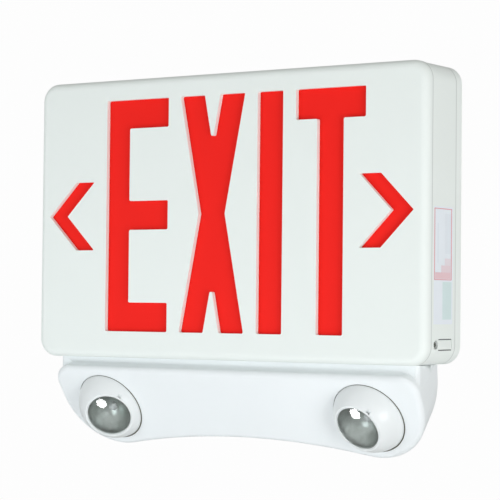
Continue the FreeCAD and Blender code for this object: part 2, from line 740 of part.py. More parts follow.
def bar_outline(inset, place):
    """Outline of the leaning front: two lobes, a shallow arch and rounded top corners."""
    climb_to_lobe = ARCH_DROP + LOBE_RISE
    arch_r = (LOBE_X ** 2 + climb_to_lobe ** 2 - LOBE_R ** 2) / (2 * (LOBE_R - climb_to_lobe))
    lobe_r = LOBE_R - inset
    toward_arch = math.atan2(-(climb_to_lobe + arch_r), -LOBE_X)
    lean = math.radians(BAR_SIDE_LEAN)
    top = BAR_TOP_RISE - inset
    corner_r = BAR_CORNER_R - inset

    def on_lobe(angle):
        return (LOBE_X + lobe_r * math.cos(angle), LOBE_RISE + lobe_r * math.sin(angle))

    arch_end = on_lobe(toward_arch)
    lobe_mid = on_lobe((toward_arch - lean) / 2)
    side_foot = on_lobe(-lean)
    climb = (top - side_foot[1]) / math.cos(lean)
    corner = (side_foot[0] + climb * math.sin(lean), top)
    reach = corner_r * math.tan((math.pi / 2 + lean) / 2)
    side_top = (corner[0] - reach * math.sin(lean), corner[1] - reach * math.cos(lean))
    top_end = (corner[0] - reach, top)
    centre = (top_end[0], top - corner_r)
    away = math.atan2(corner[1] - centre[1], corner[0] - centre[0])
    corner_mid = (centre[0] + corner_r * math.cos(away), centre[1] + corner_r * math.sin(away))

    def mirrored(point):
        return (-point[0], point[1])

    edges = [arc(place, mirrored(arch_end), (0, inset - ARCH_DROP), arch_end),
             arc(place, arch_end, lobe_mid, side_foot),
             line(place, side_foot, side_top),
             arc(place, side_top, corner_mid, top_end),
             line(place, top_end, mirrored(top_end)),
             arc(place, mirrored(top_end), mirrored(corner_mid), mirrored(side_top)),
             line(place, mirrored(side_top), mirrored(side_foot)),
             arc(place, mirrored(side_foot), mirrored(lobe_mid), mirrored(arch_end))]
    return Part.Wire(edges)


def bar_body(inset):
    """Body behind the leaning front, tapering to the wall; only the outside has a rounded rim."""
    ahead = FRONT_AHEAD_OF_BALL - inset
    slope = math.tan(math.radians(BAR_DRAFT))
    front = bar_outline(inset * (1 + slope), slope_view(ahead))
    rear = bar_outline(inset + (BAR_DEPTH + inset) * slope, slope_view(ahead - BAR_DEPTH))
    body = Part.makeLoft([front, rear], True, True)
    if inset > 0:
        return body
    rim = []
    for edge in body.Edges:
        gap = (edge.CenterOfMass - V(0, BALL_Y, BALL_Z)).dot(OUTWARD)
        if abs(gap - ahead) < 0.01:
            rim.append(edge)
    return body.makeFillet(BAR_EDGE_R, rim)


def bar_neck(inset):
    """Upright neck between the body and the sign, also tapering towards the wall."""
    depth = NECK_DEPTH - inset
    rear = NECK_HALF_WIDTH - inset
    front = rear + depth * math.tan(math.radians(NECK_DRAFT))
    low = BAR_TOP_Z - NECK_DROP
    corners = [V(-rear, 0, low), V(-front, -depth, low), V(front, -depth, low), V(rear, 0, low)]
    neck = prism(Part.makePolygon(corners + corners[:1]), V(0, 0, NECK_DROP + 1))
    upright = [e for e in neck.Edges if e.BoundBox.ZLength > 1 and e.BoundBox.YMax < -1]
    return neck.makeFillet(max(NECK_EDGE_R - inset, 0.5), upright)


def bar_volume(inset, drop):
    """Solid form of the bar, drawn in by inset, with its top lowered by drop."""
    keep = box_between(-SIGN_WIDTH, SIGN_WIDTH, -SIGN_WIDTH, 0, -SIGN_WIDTH, BAR_TOP_Z - drop)
    return bar_body(inset).fuse(bar_neck(inset)).common(keep).removeSplitter()


def in_socket(x, shape):
    """Move a lamp socket's shape from its own axes to its place in the bar."""
    moved = shape.copy()
    turn = FreeCAD.Rotation(ACROSS, UP_SLOPE, OUTWARD, "ZXY")
    moved.Placement = FreeCAD.Placement(V(x, BALL_Y, BALL_Z), turn)
    return moved


def in_ball(x, tilt, shape):
    """Move a lamp's shape from its own axes to its place, aimed by tilt degrees."""
    moved = shape.copy()
    turn = FreeCAD.Rotation(ACROSS, UP_SLOPE, OUTWARD, "ZXY")
    aim = FreeCAD.Rotation(V(0, 1, 0), tilt)
    moved.Placement = FreeCAD.Placement(V(x, BALL_Y, BALL_Z), turn.multiply(aim))
    return moved


def tube(outer_r, inner_r, low, high):
    start = V(0, 0, low)
    return Part.makeCylinder(outer_r, high - low, start).cut(
        Part.makeCylinder(inner_r, high - low, start))


def bar_screw_holes():
    holes = []
    for x in (-BAR_SCREW_X, BAR_SCREW_X):
        start = V(x, BAR_SCREW_Y, BAR_TOP_Z - BAR_WALL - 1)
        holes.append(pilot_hole(start, V(0, 0, 1), BAR_WALL + SCREW_LENGTH + 1))
    return holes


def bushing_hole():
    start = V(0, BAR_SCREW_Y, BAR_TOP_Z - BAR_WALL - 1)
    return rod(BUSHING_R + TONGUE_GAP, start, V(0, 0, 1), BAR_WALL + LINING + 2)


def ear_centres():
    centres = []
    for angle in (RETAINER_EAR_ANGLE, 180 - RETAINER_EAR_ANGLE):
        turn = math.radians(angle)
        centres.append((RETAINER_EAR_AT * math.cos(turn), RETAINER_EAR_AT * math.sin(turn)))
    return centres


def bar_cover():
    hollow = bar_volume(BAR_WALL, BAR_WALL)
    inner_face = FRONT_AHEAD_OF_BALL - BAR_WALL
    foot = -COLLAR_END
    length = inner_face + COLLAR_END + BAR_WALL / 2
    for x in (-LAMP_SPACING / 2, LAMP_SPACING / 2):
        collar = Part.makeCylinder(COLLAR_R, length, V(0, 0, foot))
        ears = [Part.makeCylinder(RETAINER_EAR_R, length, V(u, w, foot)) for u, w in ear_centres()]
        hollow = hollow.cut(in_socket(x, collar.fuse(ears)))
    cover = bar_volume(0, 0).cut(hollow)
    for x in (-LAMP_SPACING / 2, LAMP_SPACING / 2):
        bore = Part.makeCylinder(COLLAR_BORE_R, inner_face + COLLAR_END + 1, V(0, 0, foot - 1))
        cover = cover.cut(in_socket(x, bore))
        cover = cover.cut(Part.makeSphere(BALL_R + BALL_GAP, V(x, BALL_Y, BALL_Z)))
        for u, w in ear_centres():
            hole = pilot_hole(V(u, w, foot - 1), V(0, 0, 1), COLLAR_END + inner_face / 2 + 1)
            cover = cover.cut(in_socket(x, hole))
    cover = cover.cut(bar_screw_holes())
    cover = cover.cut(bushing_hole())
    return cover.removeSplitter()


def bar_back():
    inset = BAR_WALL + BAR_BACK_GAP
    slab = box_between(-SIGN_WIDTH, SIGN_WIDTH, -BAR_BACK_THICKNESS, 0, -SIGN_WIDTH, BAR_TOP_Z)
    plate = bar_volume(inset, inset).common(slab)
    for x in (-LAMP_SPACING / 2, LAMP_SPACING / 2):
        plate = plate.cut(Part.makeSphere(BALL_R + BALL_GAP, V(x, BALL_Y, BALL_Z)))
    return plate


def bar_screws():
    return [screw(V(x, BAR_SCREW_Y, BAR_TOP_Z - BAR_WALL), V(0, 0, 1), SCREW_LENGTH)
            for x in (-BAR_SCREW_X, BAR_SCREW_X)]


def wire_bushing():
    """Flanged sleeve that lines the wire hole between the sign and the bar."""
    low = BAR_TOP_Z - BAR_WALL - BUSHING_FLANGE
    high = BAR_TOP_Z + LINING + BUSHING_FLANGE
    sleeve = rod(BUSHING_R, V(0, BAR_SCREW_Y, low), V(0, 0, 1), high - low)
    flange = rod(BUSHING_FLANGE_R, V(0, BAR_SCREW_Y, low), V(0, 0, 1), BUSHING_FLANGE)
    bore = rod(BUSHING_BORE_R, V(0, BAR_SCREW_Y, low - 1), V(0, 0, 1), high - low + 2)
    return sleeve.fuse(flange).cut(bore).removeSplitter()


# Ball lamps

def swivel_ring():
    ring = tube(RING_R, RING_BORE_R - RING_WALL, -RING_REAR, RING_FRONT)
    ring = ring.cut(Part.makeSphere(RING_BORE_R))
    pin_path = Part.makeCylinder(TRUNNION_R + TRUNNION_GAP, RING_R * 2 + 2,
                                 V(0, -RING_R - 1, 0), V(0, 1, 0))
    return ring.cut(pin_path)


def ring_retainer():
    plate = Part.makeCylinder(RETAINER_OUTER_R, RETAINER_THICKNESS,
                              V(0, 0, -COLLAR_END - RETAINER_THICKNESS))
    ears = []
    holes = [Part.makeCylinder(RETAINER_INNER_R, RETAINER_THICKNESS + 2,
                               V(0, 0, -COLLAR_END - RETAINER_THICKNESS - 1))]
    low = -COLLAR_END - RETAINER_THICKNESS
    for u, w in ear_centres():
        foot = V(u, w, low)
        ears.append(Part.makeCylinder(RETAINER_EAR_R, RETAINER_THICKNESS, foot))
        tab = box_between(RETAINER_INNER_R, RETAINER_EAR_AT, -RETAINER_EAR_R, RETAINER_EAR_R,
                          low, -COLLAR_END)
        tab.rotate(V(0, 0, 0), V(0, 0, 1), math.degrees(math.atan2(w, u)))
        ears.append(tab)
        holes.append(pilot_hole(foot - V(0, 0, 1), V(0, 0, 1), RETAINER_THICKNESS + 2))
    return plate.fuse(ears).cut(holes).removeSplitter()


def retainer_screws():
    return [screw(V(u, w, -COLLAR_END - RETAINER_THICKNESS), V(0, 0, 1),
                  COLLAR_END + RETAINER_THICKNESS) for u, w in ear_centres()]


def lug_directions():
    turn = math.radians(LUG_ANGLE)
    return [(math.cos(turn + k * math.pi), math.sin(turn + k * math.pi)) for k in range(2)]


def lug_bars(width, reach, low, high):
    bars = []
    for u, w in lug_directions():
        bar = box_between(0, reach, -width / 2, width / 2, low, high)
        bar.rotate(V(0, 0, 0), V(0, 0, 1), math.degrees(math.atan2(w, u)))
        bars.append(bar)
    return bars


def ball_shell():
    shell = Part.makeSphere(BALL_R).cut(Part.makeSphere(BALL_R - BALL_WALL))
    sleeve_r = LENS_R + LENS_CLEARANCE
    sleeve = Part.makeCylinder(sleeve_r + SLEEVE_WALL, SLEEVE_DEPTH,
                               V(0, 0, BALL_FRONT - SLEEVE_DEPTH))
    shell = shell.fuse(sleeve.common(Part.makeSphere(BALL_R)))
    keep = Part.makeCylinder(BALL_R + 1, BALL_FRONT + BALL_REAR, V(0, 0, -BALL_REAR))
    shell = shell.common(keep)
    shell = shell.cut(Part.makeCylinder(sleeve_r, BALL_R, V(0, 0, BALL_FRONT - SLEEVE_DEPTH - 1)))
    notch_low = BALL_FRONT - LENS_DISC_THICKNESS
    shell = shell.cut(lug_bars(LUG_WIDTH + 2 * LENS_CLEARANCE, BALL_R, notch_low, BALL_R))
    pin_start = BALL_R - BALL_WALL / 2
    pin_length = BALL_WALL / 2 + TRUNNION_LENGTH
    pins = [Part.makeCylinder(TRUNNION_R, pin_length, V(0, side * pin_start, 0), V(0, side, 0))
            for side in (-1, 1)]
    return shell.fuse(pins).removeSplitter()


def ball_lens():
    top = BALL_FRONT - LENS_RECESS
    disc = Part.makeCylinder(LENS_R, LENS_DISC_THICKNESS, V(0, 0, top - LENS_DISC_THICKNESS))
    lugs = lug_bars(LUG_WIDTH, LENS_R + LUG_REACH, top - LENS_DISC_THICKNESS / 2, top)
    return disc.fuse(lugs).removeSplitter()


def reflector_back():
    return BALL_FRONT - LENS_RECESS - LENS_DISC_THICKNESS - REFLECTOR_DEPTH


def reflector():
    """Deep bowl turned from a curved profile, with a narrow rim under the lens."""
    top = BALL_FRONT - LENS_RECESS - LENS_DISC_THICKNESS
    bottom = reflector_back()
    outer = LENS_R - LENS_CLEARANCE
    t = REFLECTOR_WALL
    bulge = 0.62

    def profile(u, w):
        return V(u, 0, w)

    def bowl_arc(throat, rim_r, low, high):
        middle = (throat + (rim_r - throat) * bulge, low + (high - low) * (1 - bulge))
        return arc(profile, (throat, low), middle, (rim_r, high))

    inner = bowl_arc(REFLECTOR_THROAT_R, outer - 2 * t, bottom, top)
    backing = bowl_arc(REFLECTOR_THROAT_R + t, outer - t, bottom, top - t)
    edges = [inner,
             line(profile, (outer - 2 * t, top), (outer, top)),
             line(profile, (outer, top), (outer, top - t)),
             line(profile, (outer, top - t), (outer - t, top - t)),
             backing,
             line(profile, (REFLECTOR_THROAT_R + t, bottom), (REFLECTOR_THROAT_R, bottom))]
    wire = Part.Wire(Part.__sortEdges__(edges))
    return Part.Face(wire).revolve(V(0, 0, 0), V(0, 0, 1), 360)


def lamp_board():
    top = reflector_back()
    board = Part.makeCylinder(LAMP_BOARD_R, LAMP_BOARD_THICKNESS,
                              V(0, 0, top - LAMP_BOARD_THICKNESS))
    chip = Part.makeCylinder(LAMP_CHIP_R, LAMP_CHIP_HEIGHT, V(0, 0, top))
    rim = [e for e in chip.Edges if e.Closed and e.CenterOfMass.z > top + LAMP_CHIP_HEIGHT / 2]
    chip = chip.makeFillet(LAMP_CHIP_HEIGHT * 0.6, rim)
    return board.fuse(chip).removeSplitter()


def ball_cap():
    """Disc that closes the back of the ball and carries the lamp board."""
    top = reflector_back() - LAMP_BOARD_THICKNESS
    low = top - CAP_THICKNESS
    reach = math.sqrt((BALL_R - BALL_WALL) ** 2 - max(abs(top), abs(low)) ** 2) - LENS_CLEARANCE
    return Part.makeCylinder(reach, CAP_THICKNESS, V(0, 0, low))


# Every node and its shape

def build():
    upper_board, upper_chips = led_strip(1)
    lower_board, lower_chips = led_strip(-1)
    nodes = {
        "face_plate": face_plate(),
        "sign_frame": frame(),
        "back_plate": back_plate(),
        "red_lens": lens_panel(),
        "light_chamber": light_chamber(),
        "chamber_screws": chamber_screws(),
        "upper_led_strip": upper_board,
        "upper_led_chips": upper_chips,
        "lower_led_strip": lower_board,
        "lower_led_chips": lower_chips,
        "control_board": control_board(),
        "control_board_screws": control_board_screws(),
        "transformer": transformer(),
        "capacitors": capacitors(),
        "battery_pack": battery_pack(),
        "battery_strap": battery_strap(),
        "battery_strap_screws": battery_strap_screws(),
        "test_board": test_board(),
        "test_switch": test_switch(),
        "switch_plunger": switch_plunger(),
        "test_button": test_button(),
        "pilot_led": pilot_led(),
        "side_label": side_label(),
        "bar_cover": bar_cover(),
        "bar_back": bar_back(),
        "bar_screws": bar_screws(),
        "wire_bushing": wire_bushing(),
    }
    for name, side, tilt in (("left", -1, LEFT_TILT), ("right", 1, RIGHT_TILT)):
        x = side * LAMP_SPACING / 2
        nodes[name + "_swivel_ring"] = in_socket(x, swivel_ring())
        nodes[name + "_ring_retainer"] = in_socket(x, ring_retainer())
        nodes[name + "_retainer_screws"] = [in_socket(x, s) for s in retainer_screws()]
        nodes[name + "_lamp_shell"] = in_ball(x, tilt, ball_shell())
        nodes[name + "_lamp_lens"] = in_ball(x, tilt, ball_lens())
        nodes[name + "_lamp_reflector"] = in_ball(x, tilt, reflector())
        nodes[name + "_lamp_board"] = in_ball(x, tilt, lamp_board())
        nodes[name + "_lamp_cap"] = in_ball(x, tilt, ball_cap())
    return nodes


def write(nodes):
    os.makedirs("parts", exist_ok=True)
    for name, shape in nodes.items():
        if isinstance(shape, list):
            shape = Part.makeCompound(shape)
        solids = shape.Solids
        print(f"{name:24s} solids {len(solids)} valid {shape.isValid()}"
              f" volume {sum(s.Volume for s in solids) / 1000:.2f} cm3")
        shape.exportStep(f"parts/{name}.step")


write(build())
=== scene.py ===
"""Finishes, lamp optics, side label and studio for the exit light with a two-lamp bar.

Every size is in metres.  X runs to the right, Y runs back to the wall and Z runs up,
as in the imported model.
"""

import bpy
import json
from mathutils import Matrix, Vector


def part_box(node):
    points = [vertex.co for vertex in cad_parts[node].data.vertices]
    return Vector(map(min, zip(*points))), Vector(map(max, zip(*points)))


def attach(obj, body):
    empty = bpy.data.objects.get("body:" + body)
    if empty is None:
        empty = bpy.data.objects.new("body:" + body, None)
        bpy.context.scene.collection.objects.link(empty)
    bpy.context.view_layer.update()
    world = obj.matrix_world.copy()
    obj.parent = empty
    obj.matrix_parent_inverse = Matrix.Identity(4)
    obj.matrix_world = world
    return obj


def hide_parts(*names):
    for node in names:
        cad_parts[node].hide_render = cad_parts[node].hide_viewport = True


bl_info = {
    "name": "Exit Light Finishes",
    "version": (1, 0, 0),
    "blender": (4, 5, 0),
    "location": "View3D > Sidebar > Exit Light",
    "description": "Dresses an exit light with plastics, lamp optics, a bare label and a studio",
    "category": "Object",
}

import json
import math

import bmesh
import bpy
from bpy.props import FloatProperty, FloatVectorProperty, PointerProperty
from mathutils import Matrix, Vector

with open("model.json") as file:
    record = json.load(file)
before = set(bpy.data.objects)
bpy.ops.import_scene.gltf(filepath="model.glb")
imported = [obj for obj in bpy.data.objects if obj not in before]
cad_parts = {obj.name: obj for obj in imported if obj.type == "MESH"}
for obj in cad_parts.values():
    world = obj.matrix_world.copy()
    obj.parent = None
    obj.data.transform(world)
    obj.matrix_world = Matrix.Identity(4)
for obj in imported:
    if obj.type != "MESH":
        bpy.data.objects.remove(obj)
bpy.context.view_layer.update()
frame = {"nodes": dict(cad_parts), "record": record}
bpy.ops.object.select_all(action="DESELECT")

MM = 0.001
JOINTS = {joint["name"]: joint for joint in frame["record"]["behaviour"]["joints"]}

# Joints round the housing, as places along Y, with the reach and depth of the shade painted along
# them
FACE_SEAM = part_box("sign_frame")[0].y
BACK_SEAM = -7.3 * MM
SEAM_REACH = 0.7 * MM
SEAM_PAINTED_SHADE = 0.66

# Angles in degrees past which an edge stays sharp
CREASE = 40
BAR_CREASE = 28
LABEL_CREASE = 30
BEVEL_CREASE = 50

# Turned pieces of the lamps
TURNED_SIDES = 96
LENS_RINGS = 12
LENS_EDGE = 0.12 * MM
BEZEL_EDGE = 0.1 * MM
LENS_FIT = 0.05 * MM
LUG_HALF_WIDTH = 1.0 * MM
BOWL_RINGS = 14
BOWL_CURVE = 0.62
BOWL_FIT = 0.1 * MM
BOWL_LIP = 0.3 * MM
BOWL_WALL = 0.5 * MM
DOME_SIDES = 48
DOME_RINGS = 24
DOME_LIFT = 0.05 * MM

# Dark rubber seals in the bar's sockets, which also stand in for the shade in the gap round each
# ball; DIAGONAL is a slanting move's share along each axis
SEAL_SIDES = 160
SEAL_FIT = 0.1 * MM
SEAL_RISE = 0.02 * MM
SEAL_DEPTH = 0.3 * MM
DIAGONAL = 0.71

# Slots above and below the test button, with a dark block in each as painted shade
BUTTON_HALF_HEIGHT = 3.05 * MM
SLOT_OFFSET = 0.235 * MM
SLOT_SINK = 0.2 * MM
SLOT_SIZE = (0.5 * MM, 15.6 * MM, 0.43 * MM)
SLOT_CORNER = 0.15 * MM

# Side label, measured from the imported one
LABEL_FRONT_GAP = 0.15 * MM
LABEL_REAR_TRIM = 0.6 * MM
LABEL_FOOT_TRIM = 0.7 * MM
LABEL_HEAD_GAIN = 0.6 * MM
LABEL_CORNER = 1.2 * MM
LABEL_EDGE = 0.1 * MM

# Studio; a glint light of GLINT_SIZE has the full glint power
COOL_LIGHT = (0.90, 0.955, 1.0)
PALE_LIGHT = (0.97, 0.985, 1.0)
WHITE_LIGHT = (1.0, 1.0, 1.0)
SURROUND_TINT = (0.985, 1.0, 0.985, 1)
BACKDROP_WHITE = (0.984, 0.984, 0.984, 1)
FLOOR_PAPER = (0.86, 0.86, 0.86, 1)
FLOOR_SIDES = 96
FLOOR_RADIUS = 1.4
FLOOR_BACK = 0.1
FLOOR_GLOW = 0.75
GLINT_SIZE = 0.055


# Sizes and colours that a user may change

def length(name, description, default):
    return FloatProperty(name=name, description=description, default=default,
                         unit="LENGTH", subtype="DISTANCE", precision=5)


def angle(name, description, degrees):
    return FloatProperty(name=name, description=description, default=math.radians(degrees),
                         subtype="ANGLE")


def colour(name, description, default):
    return FloatVectorProperty(name=name, description=description, default=default,
                               subtype="COLOR", min=0.0, max=1.0)


def amount(name, description, default):
    return FloatProperty(name=name, description=description, default=default, min=0.0)


def wattage(name, description, watts):
    return FloatProperty(name=name, description=description, default=watts, min=0.0,
                         unit="POWER")


class HousingSettings(bpy.types.PropertyGroup):
    white: colour("Housing white", "Colour of the moulded housing", (0.865, 0.905, 0.875))
    bar_white: colour("Bar white", "Colour of the lamp bar", (0.875, 0.905, 0.915))
    ball_white: colour("Ball white", "Colour of the lamp balls", (0.825, 0.850, 0.850))
    red: colour("Legend red", "Colour of the lens behind the legend", (0.93, 0.018, 0.013))


class LampSettings(bpy.types.PropertyGroup):
    left_aim: angle("Left aim", "Left lamp's turn from its socket's axis", 19.0)
    right_aim: angle("Right aim", "Right lamp's turn from its socket's axis", -5.5)
    lens_radius: length("Lens radius", "Radius of the clear lens", 14.7 * MM)
    lens_thickness: length("Lens thickness", "Thickness of the lens at its edge", 0.6 * MM)
    lens_front: length("Lens front", "Lens edge ahead of the ball's centre", 18.6 * MM)
    lens_crown: length("Lens crown", "Rise of the lens's middle", 0.9 * MM)
    bezel_radius: length("Bezel radius", "Outer radius of the ring round the lens", 15.3 * MM)
    bezel_front: length("Bezel front", "Ring's face ahead of the ball's centre", 19.0 * MM)
    bezel_depth: length("Bezel depth", "Thickness of the ring round the lens", 0.8 * MM)
    lug_angle: angle("Lug angle", "Place of the ring's lug", 48.0)
    lug_reach: length("Lug reach", "How far the lug stands past the ring", 0.75 * MM)
    bowl_depth: length("Bowl depth", "Depth of the reflector", 10.4 * MM)
    throat_radius: length("Throat radius", "Radius of the reflector's throat", 2.8 * MM)
    dome_radius: length("Dome radius", "Radius of the frosted dome over the lamp chip", 2.75 * MM)
    ball_radius: length("Ball radius", "Radius of a lamp's ball", 25.0 * MM)
    bar_front: length("Bar front", "Bar's leaning face ahead of the ball's centre", 7.0 * MM)
    # The socket seal is a dark rubber ring that also stands in for the shade in the gap round each
    # ball
    shade_seal_width: length("Seal width", "Width of the socket's dark seal", 0.30 * MM)
    shade_seal_shift: length("Seal shift", "How far the seal sits to the lower right", 0.30 * MM)


class BarSettings(bpy.types.PropertyGroup):
    shoulder_drop: length("Shoulder drop", "Shoulder's place below the packed one", 1.8 * MM)
    shoulder_start: length("Shoulder start", "Height up the slope where the drop begins", 10.0 * MM)
    shoulder_end: length("Shoulder end", "Height up the slope where the drop is full", 22.0 * MM)
    bore_reach: length("Bore reach", "Reach of the socket's bore, which stays in place", 27.7 * MM)
    collar_reach: length("Collar reach", "Reach of the collar inside the cover", 31.0 * MM)
    neck_level: length("Neck level", "Distance ahead of the ball's centre past which the drop "
                       "follows the slope", 4.0 * MM)
    neck_keep: length("Neck keep", "Height of the neck's top edge that stays in place", 1.0 * MM)


class StudioSettings(bpy.types.PropertyGroup):
    camera_place: FloatVectorProperty(name="Camera place", description="Where the camera stands",
                                      default=(0.70442, -1.06327, -0.0565), subtype="XYZ")
    yaw: angle("Yaw", "Camera's turn to the left", 33.777)
    pitch: angle("Pitch", "Camera's tilt upwards", 1.625)
    roll: angle("Roll", "Camera's roll", 0.573)
    focal: FloatProperty(name="Focal length", description="Camera lens in millimetres",
                         default=140.29, unit="CAMERA")
    floor_drop: length("Floor drop", "Floor's place below the sign's middle", -0.42)
    level_light: amount("Level light", "Surround's strength at eye level", 0.453)
    top_light: amount("Top light", "Surround's strength overhead", 0.518)
    key_power: wattage("Key power", "Power of the low light in front", 0.922)
    side_power: wattage("Side power", "Power of the light in front at the left", 1.42)
    fill_power: wattage("Fill power", "Power of the light at the right", 6.16)
    glint_power: wattage("Glint power", "Power of a small round light 55 mm across", 0.16)


# Small helpers

def only(obj):
    """Select obj alone and make it active."""
    bpy.ops.object.select_all(action="DESELECT")
    obj.select_set(True)
    bpy.context.view_layer.objects.active = obj
    return obj


def named(name):
    """Name the primitive that was just added."""
    obj = bpy.context.active_object
    obj.name = name
    obj.data.name = name
    return obj


def begin(name, scale=(1, 1, 1)):
    """Name a new primitive, fix its size and place in its mesh and open it for shaping."""
    obj = named(name)
    obj.scale = scale
    bpy.ops.object.transform_apply(location=True, rotation=True, scale=True)
    bpy.ops.object.mode_set(mode="EDIT")
    bpy.ops.mesh.select_all(action="SELECT")
    return obj


def again(obj, name):
    """Second copy of a piece, with its own mesh."""
    copy = obj.copy()
    copy.data = obj.data.copy()
    copy.name = copy.data.name = name
    bpy.context.collection.objects.link(copy)
    return copy


def pick(obj, test, kind="faces"):
    """Select the faces or edges that pass the test, in edit mode."""
    mesh = bmesh.from_edit_mesh(obj.data)
    for group in (mesh.faces, mesh.edges, mesh.verts):
        for part in group:
            part.select_set(False)
    chosen = [part for part in getattr(mesh, kind) if test(part)]
    if not chosen:
        raise RuntimeError("nothing to select on " + obj.name)
    for part in chosen:
        part.select_set(True)
    bmesh.update_edit_mesh(obj.data)


def settle(obj, matrix):
    """Put the finished mesh in its place and leave the object at the origin."""
    only(obj)
    obj.matrix_world = matrix
    bpy.ops.object.transform_apply(location=True, rotation=True, scale=True)


def apply_modifiers(obj):
    only(obj)
    for modifier in list(obj.modifiers):
        bpy.ops.object.modifier_apply(modifier=modifier.name)


def smooth(obj, degrees):
    """Shade smoothly between sharper edges than degrees, led by the largest faces."""
    only(obj)
    bpy.ops.object.shade_smooth_by_angle(angle=math.radians(degrees))
    even = obj.modifiers.new("even", "WEIGHTED_NORMAL")
    even.weight = 100
    even.keep_sharp = True
    apply_modifiers(obj)


def soften(obj, width):
    """Round the sharp edges a little."""
    rim = obj.modifiers.new("rim", "BEVEL")
    rim.width = width
    rim.segments = 2
    rim.angle_limit = math.radians(BEVEL_CREASE)
    apply_modifiers(obj)


def thicken(obj, thickness):
    """Give an open surface a wall behind it, and close it up."""
    wall = obj.modifiers.new("wall", "SOLIDIFY")
    wall.thickness = thickness
    wall.offset = -1.0
    apply_modifiers(obj)
    bpy.ops.object.mode_set(mode="EDIT")
    close_up()
    bpy.ops.object.mode_set(mode="OBJECT")


def socket_matrix(side):
    """Socket's axes at the ball's centre: X across, Y up the slope, Z out of the bar."""
    tilt = JOINTS[side + "_lamp_tilt"]
    up = Vector(tilt["axis"])
    out = Vector(JOINTS[side + "_swivel_turn"]["axis"])
    basis = Matrix((up.cross(out), up, out)).transposed().to_4x4()
    return Matrix.Translation(Vector(tilt["pos_m"])) @ basis


def lamp_matrix(side):
    """Lamp's own axes: the socket's, turned about the slope by the lamp's aim."""
    aim = getattr(bpy.context.scene.lamps, side + "_aim")
    return socket_matrix(side) @ Matrix.Rotation(aim, 4, "Y")


def ring_step(rise=0.0, grow=1.0):
    """Extrude the selected ring of edges, then raise it and scale it about the Z axis."""
    bpy.ops.mesh.extrude_edges_move(TRANSFORM_OT_translate={"value": (0, 0, rise)})
    bpy.ops.transform.resize(value=(grow, grow, 1), center_override=(0, 0, 0))


def close_up():
    """Join what meets and turn every face outwards."""
    bpy.ops.mesh.select_all(action="SELECT")
    bpy.ops.mesh.remove_doubles(threshold=1e-7)
    bpy.ops.mesh.normals_make_consistent(inside=False)


def label_box():
    """Corners of the label, which reaches forward to the face plate's joint."""
    low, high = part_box("side_label")
    low = Vector((low.x, FACE_SEAM + LABEL_FRONT_GAP, low.z + LABEL_FOOT_TRIM))
    high = Vector((high.x, high.y - LABEL_REAR_TRIM, high.z + LABEL_HEAD_GAIN))
    return low, high


# Effects shared by the materials

def new_group(name, inputs, outputs):
    """Empty shader group; a row is a name and a socket kind, and an input's has its default."""
    group = bpy.data.node_groups.new(name, "ShaderNodeTree")
    for label, kind, default in inputs:
        socket = group.interface.new_socket(label, in_out="INPUT", socket_type="NodeSocket" + kind)
        socket.default_value = default
    for label, kind in outputs:
        group.interface.new_socket(label, in_out="OUTPUT", socket_type="NodeSocket" + kind)
    return group, group.nodes.new("NodeGroupInput"), group.nodes.new("NodeGroupOutput")


def add(tree, kind, **values):
    node = tree.nodes.new("ShaderNode" + kind)
    for key, value in values.items():
        setattr(node, key, value)
    return node


def math_node(tree, operation, first, second=None):
    node = add(tree, "Math", operation=operation)
    for socket, value in zip(node.inputs, (first, second)):
        if value is None:
            continue
        if isinstance(value, (int, float)):
            socket.default_value = value
        else:
            tree.links.new(value, socket)
    return node.outputs[0]


def object_point(tree, scale=(1, 1, 1)):
    """Place on the piece, with each axis scaled."""
    coords = add(tree, "TexCoord")
    mapping = add(tree, "Mapping")
    mapping.inputs["Scale"].default_value = scale
    tree.links.new(coords.outputs["Object"], mapping.inputs["Vector"])
    return mapping.outputs["Vector"]


def noise(tree, vector, scale, detail=2.0):
    node = add(tree, "TexNoise")
    if isinstance(scale, (int, float)):
        node.inputs["Scale"].default_value = scale
    else:
        tree.links.new(scale, node.inputs["Scale"])
    node.inputs["Detail"].default_value = detail
    tree.links.new(vector, node.inputs["Vector"])
    return node.outputs["Fac"]


def shift(tree, fac, low, high):
    """Spread a value from 0 to 1 between low and high."""
    node = add(tree, "MapRange")
    node.inputs["To Min"].default_value = low
    node.inputs["To Max"].default_value = high
    tree.links.new(fac, node.inputs["Value"])
    return node.outputs["Result"]


def tint(tree, colour_socket, factor):
    """Colour times a grey factor that changes over the surface."""
    node = add(tree, "VectorMath", operation="SCALE")
    tree.links.new(colour_socket, node.inputs[0])
    tree.links.new(factor, node.inputs["Scale"])
    return node.outputs["Vector"]


def bump(tree, height, strength, distance):
    node = add(tree, "Bump")
    node.inputs["Distance"].default_value = distance
    if isinstance(strength, (int, float)):
        node.inputs["Strength"].default_value = strength
    else:
        tree.links.new(strength, node.inputs["Strength"])
    tree.links.new(height, node.inputs["Height"])
    return node.outputs["Normal"]


def moulded_grain():
    """Fine moulded grain with faint cloudiness, for every plastic."""
    group, given, result = new_group(
        "moulded_grain",
        (("Colour", "Color", (1, 1, 1, 1)), ("Grain Scale", "Float", 900.0),
         ("Grain Depth", "Float", 0.1), ("Cloudiness", "Float", 0.01),
         ("Roughness", "Float", 0.35)),
        (("Colour", "Color"), ("Roughness", "Float"), ("Normal", "Vector")))
    point = object_point(group)
    clouds = noise(group, point, 22.0, 3.0)
    grain = noise(group, point, given.outputs["Grain Scale"], 2.0)
    swing = math_node(group, "MULTIPLY", math_node(group, "SUBTRACT", clouds, 0.5),
                      given.outputs["Cloudiness"])
    factor = math_node(group, "ADD", swing, 1.0)
    group.links.new(tint(group, given.outputs["Colour"], factor), result.inputs["Colour"])
    spread = shift(group, grain, -0.05, 0.05)
    group.links.new(math_node(group, "ADD", spread, given.outputs["Roughness"]),
                    result.inputs["Roughness"])
    group.links.new(bump(group, grain, given.outputs["Grain Depth"], 0.08 * MM),
                    result.inputs["Normal"])


